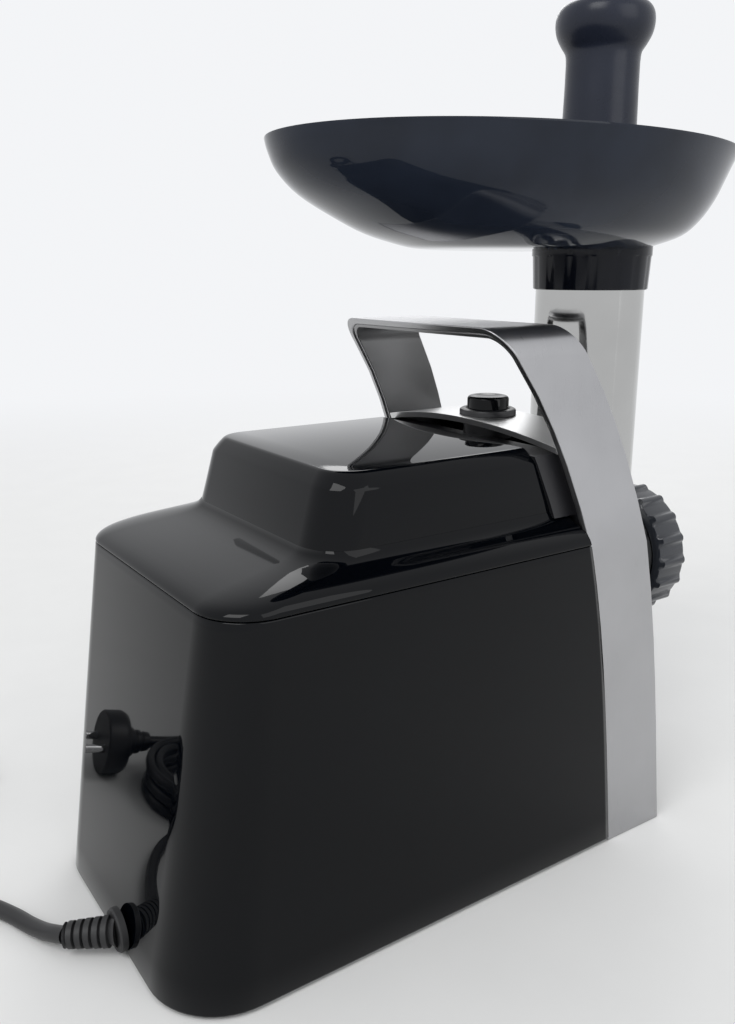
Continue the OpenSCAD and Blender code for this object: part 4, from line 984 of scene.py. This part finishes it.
@dataclass
class FeedHead:
    """The polished neck and barrel with the ring nut."""

    axis_z: float = 118.0
    neck_r: float = 27.0
    neck_bore: float = 24.0
    neck_top: float = 279.5
    throat_r: float = 22.0
    ledge_z: float = 160.0
    barrel_r: float = 30.0
    barrel_bore: float = 25.6
    barrel_front: float = -145.0
    barrel_rear: float = -54.4
    bore_rear: float = -60.6
    plate_seat: Flat = (27.5, -141.9)
    tail_hole_r: float = 11.8
    lugs: int = 3
    lug_r: float = 33.0
    lug_root_r: float = 29.5
    lug_front: float = -59.6
    lug_half: float = 26.0
    nut_r: float = 37.0
    nut_bore: float = 30.4
    nut_mouth_r: float = 24.9
    nut_front: float = -150.0
    nut_rear: float = -129.3
    nut_ribs: int = 18
    fillet: float = 5.0
    fillet_steps: int = 6
    fillet_root: float = 0.96
    sides: int = 96

    def fillet_rows(self) -> list[list[Point]]:
        """Sweeps the hollow of the cast fillet between neck and barrel.

        Returns:
            A row of points for each step round the neck.
        """
        rows = []
        for i in range(self.sides):
            a = 2 * math.pi * i / self.sides
            row = []
            for k in range(self.fillet_steps + 1):
                turn = math.pi / 2 * k / self.fillet_steps
                reach = self.fillet * (1 - math.cos(turn))
                lift = self.fillet * (1 - math.sin(turn))
                x, y = (self.neck_r + reach) * math.cos(a), (self.neck_r + reach) * math.sin(a)
                row.append((x, NECK_Y + y, self.crest(x) + lift))
            root_r = self.neck_r * self.fillet_root
            inner_x, inner_y = root_r * math.cos(a), root_r * math.sin(a)
            row += [(row[-1][0], row[-1][1], self.crest(row[-1][0]) - 2),
                    (inner_x, NECK_Y + inner_y, self.crest(inner_x) - 2)]
            rows.append(row)
        return rows

    def crest(self, x: float) -> float:
        """Height of the barrel's upper surface at a distance from its axis."""
        across = min(abs(x), self.barrel_r - 0.4)
        return self.axis_z + math.sqrt(self.barrel_r ** 2 - across ** 2)

    def build_casting(self) -> bpy.types.Object:
        """Builds the cast neck and barrel with their bores.

        Returns:
            The casting's mesh object.
        """
        top, front, rear = self.neck_top, self.barrel_front, self.barrel_rear
        along, up = lengthwise(0, self.axis_z), upright(0, NECK_Y)
        seat_r, seat_y = self.plate_seat
        upright_neck = lathe("neck_barrel", [
            (0, self.axis_z), (self.neck_r, self.axis_z), (self.neck_r, top - 0.8),
            (self.neck_r - 0.8, top), (0, top)], up)
        barrel = lathe("barrel", [
            (0, front), (self.barrel_r - 0.8, front), (self.barrel_r, front + 0.8),
            (self.barrel_r, rear), (0, rear)], along)
        carve(upright_neck, [barrel], "UNION")
        bore = lathe("bore", [
            (0, -160), (seat_r, -160), (seat_r, seat_y), (self.barrel_bore, seat_y),
            (self.barrel_bore, self.bore_rear), (self.tail_hole_r, self.bore_rear),
            (self.tail_hole_r, -50), (0, -50)], along)
        throat = lathe("throat", [
            (0, self.axis_z), (self.throat_r, self.axis_z), (self.throat_r, self.ledge_z),
            (self.neck_bore, self.ledge_z), (self.neck_bore, top - 1),
            (self.neck_bore + 1, top + 1), (0, top + 1)], up)
        carve(upright_neck, [bore, throat], "DIFFERENCE")
        soften(upright_neck, 0, 35)
        piece = dress(upright_neck, POLISHED_ALLOY, "head", ["head_casting"])
        sweep = loft("neck_fillet", self.fillet_rows(), round_rows=True, round_ends=True)
        dress(soften(sweep, 0, 50), POLISHED_ALLOY, "head")
        self.build_lugs()
        return piece

    def build_lugs(self) -> None:
        """Builds the three lugs that lock behind the socket's lip."""
        section = ((self.lug_root_r, self.lug_front), (self.lug_r, self.lug_front),
                   (self.lug_r, self.barrel_rear), (self.lug_root_r, self.barrel_rear))
        for i in range(self.lugs):
            middle = math.radians(90 + 360 / self.lugs * i)
            rows = []
            for k in range(9):
                a = middle + math.radians(self.lug_half) * (k / 4 - 1)
                rows.append([(r * math.cos(a), y, self.axis_z + r * math.sin(a))
                             for r, y in section])
            lug = soften(loft(f"head_lug_{i + 1}", rows, round_rows=True, caps=True), 0.4, 40, 2)
            dress(lug, POLISHED_ALLOY, "head")

    def build_nut(self) -> bpy.types.Object:
        """Builds the ring nut with its raised grips.

        Returns:
            The nut's mesh object.
        """
        rows = []
        steps = self.nut_ribs * 12
        front, rear = self.nut_front, self.nut_rear
        for i in range(steps):
            a = 2 * math.pi * i / steps
            crest = max(0.0, math.cos(self.nut_ribs * a)) ** 0.7
            outer = self.nut_r - 2.2 + 2.1 * crest
            shape = [(self.nut_mouth_r, front + 0.5), (self.nut_mouth_r + 0.7, front),
                     (self.nut_r - 3.6, front), (self.nut_r - 2.4, front + 0.9),
                     (outer, front + 2.2), (outer, rear - 2.2), (self.nut_r - 2.4, rear - 0.9),
                     (self.nut_r - 3.6, rear), (self.nut_bore, rear),
                     (self.nut_bore, front + 2.9), (self.nut_mouth_r, front + 2.9)]
            rows.append([(r * math.cos(a), y, self.axis_z + r * math.sin(a)) for r, y in shape])
        piece = soften(loft("ring_nut_shell", rows, round_rows=True, round_ends=True), 0, 40)
        return dress(piece, NUT_GREY, "ring_nut", ["ring_nut"])

    def build(self) -> None:
        """Builds the head's pieces."""
        self.build_casting()
        self.build_nut()


# ------------------------------------------------------------------ tray and pusher


@dataclass
class TrayAndPusher:
    """The oval tray with its collar, and the pusher that stands in the neck."""

    half_length: float = 121.5
    half_width: float = 84.0
    middle_y: float = -45.5
    floor_z: float = 279.7
    depth: float = 44.5
    wall: float = 2.4
    hole_r: float = 24.2
    collar_low: float = 261.0
    collar_bore: float = 27.3
    collar_r: float = 29.6
    spigot_r: float = 24.3
    collar_steps: int = 96
    groove_every: int = 6
    groove_depth: float = 0.45
    pusher_low: float = 160.6
    pusher_top: float = 392.2
    pusher_r: float = 23.3
    grip_r: float = 17.4
    section: tuple = ((0.42, 0, 12), (0.50, 0.012, 12), (0.575, 0.05, 12), (0.70, 0.15, 11),
                      (0.797, 0.30, 7.5), (0.89, 0.50, 2), (0.947, 0.70, -1), (0.98, 0.88, -1),
                      (0.9985, 0.985, 0))
    sides: int = 112

    def ring(self, share: float, z: float, inset: float, ahead: float = 0.0) -> list[Point]:
        """One level of the bowl.

        Args:
            share: Its share of the full length and width.
            z: Its height.
            inset: How far it is moved in.
            ahead: How far its middle is moved to the front.

        Returns:
            The points of that oval.
        """
        points = []
        wide, long = self.half_width * share - inset, self.half_length * share - inset
        for j in range(self.sides):
            a = 2 * math.pi * j / self.sides
            points.append((wide * math.sin(a), self.middle_y - ahead + long * math.cos(a), z))
        return points

    def underside(self, x: float, y: float) -> float:
        """Height of the bowl's outer surface over a point of the plan.

        Args:
            x: The point's X.
            y: The point's Y.

        Returns:
            The height there.
        """
        past = []
        for share, high, ahead in self.section:
            along = (y - self.middle_y + ahead) / self.half_length
            past.append((math.hypot(x / self.half_width, along) - share, high))
        for (d0, h0), (d1, h1) in zip(past, past[1:]):
            if d1 <= 0:
                part = max(0.0, d0) / (max(0.0, d0) - d1 + 1e-9)
                return self.floor_z + self.depth * (h0 + (h1 - h0) * part)
        return self.floor_z + self.depth

    def build_bowl(self) -> bpy.types.Object:
        """Builds the bowl with a rounded rim and the opening over the neck.

        Returns:
            The bowl's mesh object.
        """
        line = smooth_line(self.section, 4)
        rim = self.floor_z + self.depth
        outside = [self.ring(share, self.floor_z + self.depth * high, 0, ahead)
                   for share, high, ahead in line]
        edge = [(0.25, rim - 0.15), (1.0, rim), (1.7, rim - 0.1), (self.wall - 0.1, rim - 0.6)]
        lip = [self.ring(1.0, z, inset) for inset, z in edge]
        inside = [self.ring(share, self.floor_z + self.depth * high + self.wall * (1 - 0.9 * high),
                            self.wall, ahead) for share, high, ahead in reversed(line[:-3])]
        low, high = ([self.ring(share, z, 0, self.section[0][2]) for share in (0.2, 0.001)]
                     for z in (self.floor_z, self.floor_z + self.wall))
        rows = low[::-1] + outside + lip + inside + high
        piece = loft("tray_bowl", rows, round_rows=True, caps=True)
        hole = lathe("hole", [(0, 270), (self.hole_r, 270), (self.hole_r, 310), (0, 310)],
                     upright(0, NECK_Y), 96)
        soften(carve(piece, [hole], "DIFFERENCE"), 0, 42)
        return dress(piece, SMOKY_BLUE, "tray", ["feed_tray"])

    def build_collar(self) -> bpy.types.Object:
        """Builds the collar, whose top follows the bowl's underside.

        Returns:
            The collar's mesh object.
        """
        rows = []
        low = self.collar_low
        for i in range(self.collar_steps):
            a = 2 * math.pi * i / self.collar_steps
            cos, sin = math.cos(a), math.sin(a)

            def meet(radius: float) -> float:
                """Height where the collar meets the bowl at a radius."""
                return self.underside(radius * cos, NECK_Y + radius * sin) + 1.0

            groove = 0.0 if i % self.groove_every else self.groove_depth
            shape = [(self.collar_bore, low), (27.9, low), (28.4 - groove, low + 0.5),
                     (29.2 - groove, 276.8), (self.collar_r, 277.6),
                     (self.collar_r, meet(self.collar_r)), (self.spigot_r, meet(self.spigot_r)),
                     (self.spigot_r, self.floor_z), (self.collar_bore, self.floor_z)]
            rows.append([(r * cos, NECK_Y + r * sin, z) for r, z in shape])
        piece = soften(loft("tray_sleeve", rows, round_rows=True, round_ends=True), 0, 35)
        return dress(piece, COLLAR_BLACK, "tray", ["tray_collar"])

    def build_pusher(self) -> bpy.types.Object:
        """Builds the pusher with its flared, rounded knob.

        Returns:
            The pusher's mesh object.
        """
        low, top, wide, slim = self.pusher_low, self.pusher_top, self.pusher_r, self.grip_r
        stem = [(0, low), (wide - 0.7, low), (wide, low + 1), (wide, 170), (wide, 176), (22.9, 215),
                (22.4, 231), (19.4, 294), (18.0, 330), (slim + 0.05, top - 36)]
        knob = smooth_line([(slim, top - 26), (17.9, top - 21.5), (20.3, top - 17.6),
                            (22.4, top - 13.4), (23.2, top - 8.8), (22.6, top - 4.4),
                            (20.4, top - 1.3), (17.0, top - 0.1)], 4)
        crown = [(13.5, top - 0.15), (12.4, top - 0.9), (6, top - 1.5), (0, top - 1.6)]
        piece = soften(lathe("pusher_body", stem + knob + crown, upright(0, NECK_Y), 96), 0, 40)
        return dress(piece, SMOKY_PUSHER, "pusher", ["pusher"])

    def build(self) -> None:
        """Builds the tray's and pusher's pieces."""
        self.build_bowl()
        self.build_collar()
        self.build_pusher()


# ------------------------------------------------------------------ switch


@dataclass
class SideSwitch:
    """The rocker switch on the side."""

    axis: Flat = (69.377, 100.0)
    middle_y: float = 57.0
    half_y: float = 8.7
    half_z: float = 10.8

    def build_rocker(self) -> bpy.types.Object:
        """Builds the rocker with its hollowed face.

        Returns:
            The rocker's mesh object.
        """
        x0, z0 = self.axis
        face = [(-self.half_z, 5.2), (-self.half_z * 0.8, 5.9), (-self.half_z * 0.4, 4.9), (0, 4.5),
                (self.half_z * 0.4, 4.9), (self.half_z * 0.8, 5.9), (self.half_z, 5.2)]
        outline = [(x0 + out, z0 + up) for up, out in smooth_line(face, 3)]
        outline += [(x0 - 3, z0 + self.half_z * 0.8), (x0 - 3, z0 - self.half_z * 0.8)]
        rows = [[(x, y, z) for x, z in outline]
                for y in (self.middle_y - self.half_y, self.middle_y + self.half_y)]
        piece = soften(loft("rocker_cap", rows, round_rows=True, caps=True), 0.6, 40, 3)
        return dress(piece, PIANO_BLACK, "power_rocker", ["power_rocker"])

    def build(self) -> None:
        """Builds the switch's pieces."""
        self.build_rocker()


# ------------------------------------------------------------------ carried-over parts


@dataclass(frozen=True)
class InnerParts:
    """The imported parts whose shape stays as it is, with a finish for each."""

    finishes: dict[Finish, tuple[str, ...]] = field(default_factory=lambda: {
        SATIN_BLACK: ("mid_frame", "front_panel", "base_plate", "switch_frame", "motor_cradle",
                      "cooling_fan", "cord_clamp"),
        MACHINED_STEEL: ("base_screws", "lever_bracket", "lever_pin", "latch_lever", "latch_plate",
                         "output_shaft", "idler_pin", "motor_pinion", "motor_shaft",
                         "motor_bearings", "hole_plate", "cutting_knife", "feed_screw"),
        CAST_ALLOY: ("bayonet_socket", "gearbox_case", "gearbox_cover", "end_bracket"),
        GEAR_PLASTIC: ("output_gear", "idler_gear", "screw_tail"),
        BRONZE: ("output_bushes", "brush_holders"),
        LAMINATED: ("stator_core", "armature_core"),
        COPPER: ("field_coils", "commutator"),
        CARBON: ("carbon_brushes",),
        BOARD_GREEN: ("control_board",),
        PLATED: ("plug_pins",),
    })

    def build(self) -> None:
        """Gives each carried-over part its finish."""
        for finish, names in self.finishes.items():
            for name in names:
                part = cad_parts[name]
                part.data.materials.clear()
                part.data.materials.append(finish.material())
                LOG.info("%s keeps its packed shape", name)


# ------------------------------------------------------------------ studio


@dataclass
class Studio:
    """The camera, the pale floor and the soft lights."""

    camera_at: Point = (-0.339, 0.266, 0.271)
    azimuth: float = 235.8
    down: float = 14.65
    lens: float = 32.695
    floor_colour: Point = (0.8, 0.8, 0.79)
    floor_half: float = 4000.0
    fade: Flat = (0.55, 1.8)
    aim: Point = (0.0, 0.0, 0.18)
    lamps: tuple = (("key", (-0.5, 1.1, 1.5), 0.9, 12.0), ("fill", (-1.6, -0.3, 0.9), 1.2, 6.0),
                    ("back", (1.2, -1.0, 1.3), 1.0, 8.0))
    room_colour: tuple[float, float, float, float] = (0.9, 0.91, 0.93, 1.0)

    def build_camera(self) -> None:
        """Sets the camera where the object is looked at from."""
        turn, dip = math.radians(self.azimuth), math.radians(self.down)
        ahead = Vector((-math.sin(turn) * math.cos(dip), math.cos(turn) * math.cos(dip),
                        -math.sin(dip)))
        data = bpy.data.cameras.new("camera")
        data.sensor_fit = "VERTICAL"
        data.sensor_height = 36.0
        data.lens = self.lens
        data.clip_start = 0.02
        camera = add_object("camera", data)
        camera.location = self.camera_at
        camera.rotation_euler = ahead.to_track_quat("-Z", "Y").to_euler()
        bpy.context.scene.camera = camera

    def build_floor(self) -> None:
        """Lays the plain pale floor."""
        half = self.floor_half
        corners = [(-half, -half, 0), (half, -half, 0), (half, half, 0), (-half, half, 0)]
        floor = solid_from("floor", corners, [(0, 1, 2, 3)])
        finish = Finish("pale_floor", self.floor_colour, 0.85, drift=0.01, gloss_drift=0.02,
                        grain_scale=300.0)
        made = finish.material()
        nodes, links = made.node_tree.nodes, made.node_tree.links
        place = nodes.new("ShaderNodeTexCoord")
        reach = nodes.new("ShaderNodeVectorMath")
        reach.operation = "LENGTH"
        links.new(place.outputs["Object"], reach.inputs[0])
        fade = nodes.new("ShaderNodeMapRange")
        fade.interpolation_type = "SMOOTHSTEP"
        fade.inputs["From Min"].default_value, fade.inputs["From Max"].default_value = self.fade
        links.new(reach.outputs["Value"], fade.inputs["Value"])
        share = nodes.new("ShaderNodeMath")
        share.operation = "MULTIPLY"
        links.new(fade.outputs["Result"], share.inputs[0])
        links.new(self.seen_rays(made.node_tree), share.inputs[1])
        glow = nodes.new("ShaderNodeEmission")
        glow.inputs["Color"].default_value = self.room_colour
        blend = nodes.new("ShaderNodeMixShader")
        links.new(share.outputs[0], blend.inputs["Fac"])
        links.new(nodes["Principled BSDF"].outputs[0], blend.inputs[1])
        links.new(glow.outputs[0], blend.inputs[2])
        links.new(blend.outputs[0], nodes["Material Output"].inputs["Surface"])
        floor.data.materials.append(made)

    @staticmethod
    def seen_rays(tree: bpy.types.NodeTree) -> bpy.types.NodeSocket:
        """Gives 1 for rays that show the background, straight or mirrored, and 0 for the others.

        Args:
            tree: The node tree that gets the nodes.

        Returns:
            The socket with that value.
        """
        rays = tree.nodes.new("ShaderNodeLightPath")
        seen = rays.outputs["Is Camera Ray"]
        for kind in ("Is Glossy Ray", "Is Transmission Ray"):
            wider = tree.nodes.new("ShaderNodeMath")
            wider.operation = "MAXIMUM"
            tree.links.new(seen, wider.inputs[0])
            tree.links.new(rays.outputs[kind], wider.inputs[1])
            seen = wider.outputs[0]
        return seen

    def lamp(self, name: str, place: Point, size: float, power: float) -> None:
        """Hangs a soft square lamp that faces the object.

        Args:
            name: The lamp's name.
            place: Where it hangs, in metres.
            size: Its side in metres.
            power: Its power in watts.
        """
        data = bpy.data.lights.new(name, "AREA")
        data.size = size
        data.energy = power
        lamp = add_object(name, data)
        lamp.location = place
        lamp.rotation_euler = (Vector(self.aim) - Vector(place)).to_track_quat("-Z", "Y").to_euler()

    def build_lights(self) -> None:
        """Hangs the lamps and sets the pale surroundings."""
        for name, place, size, power in self.lamps:
            self.lamp(name, place, size, power)
        world = bpy.data.worlds.new("pale_room")
        world.use_nodes = True
        nodes, links = world.node_tree.nodes, world.node_tree.links
        background = nodes["Background"]
        background.inputs["Color"].default_value = self.room_colour
        strength = nodes.new("ShaderNodeMapRange")
        strength.inputs["To Min"].default_value = 0.75
        strength.inputs["To Max"].default_value = 1.0
        links.new(self.seen_rays(world.node_tree), strength.inputs["Value"])
        links.new(strength.outputs["Result"], background.inputs["Strength"])
        bpy.context.scene.world = world

    def build(self) -> None:
        """Sets up the whole studio."""
        self.build_camera()
        self.build_floor()
        self.build_lights()
        bpy.context.scene.view_settings.view_transform = "Standard"


def main() -> None:
    """Builds the studio and the grinder in order."""
    logging.basicConfig(level=logging.INFO, format="%(name)s: %(message)s")
    Studio().build()
    MainsCord().build()
    Housing().build()
    HoopHandle().build()
    FeedHead().build()
    TrayAndPusher().build()
    SideSwitch().build()
    InnerParts().build()


if __name__ == "__main__":
    main()
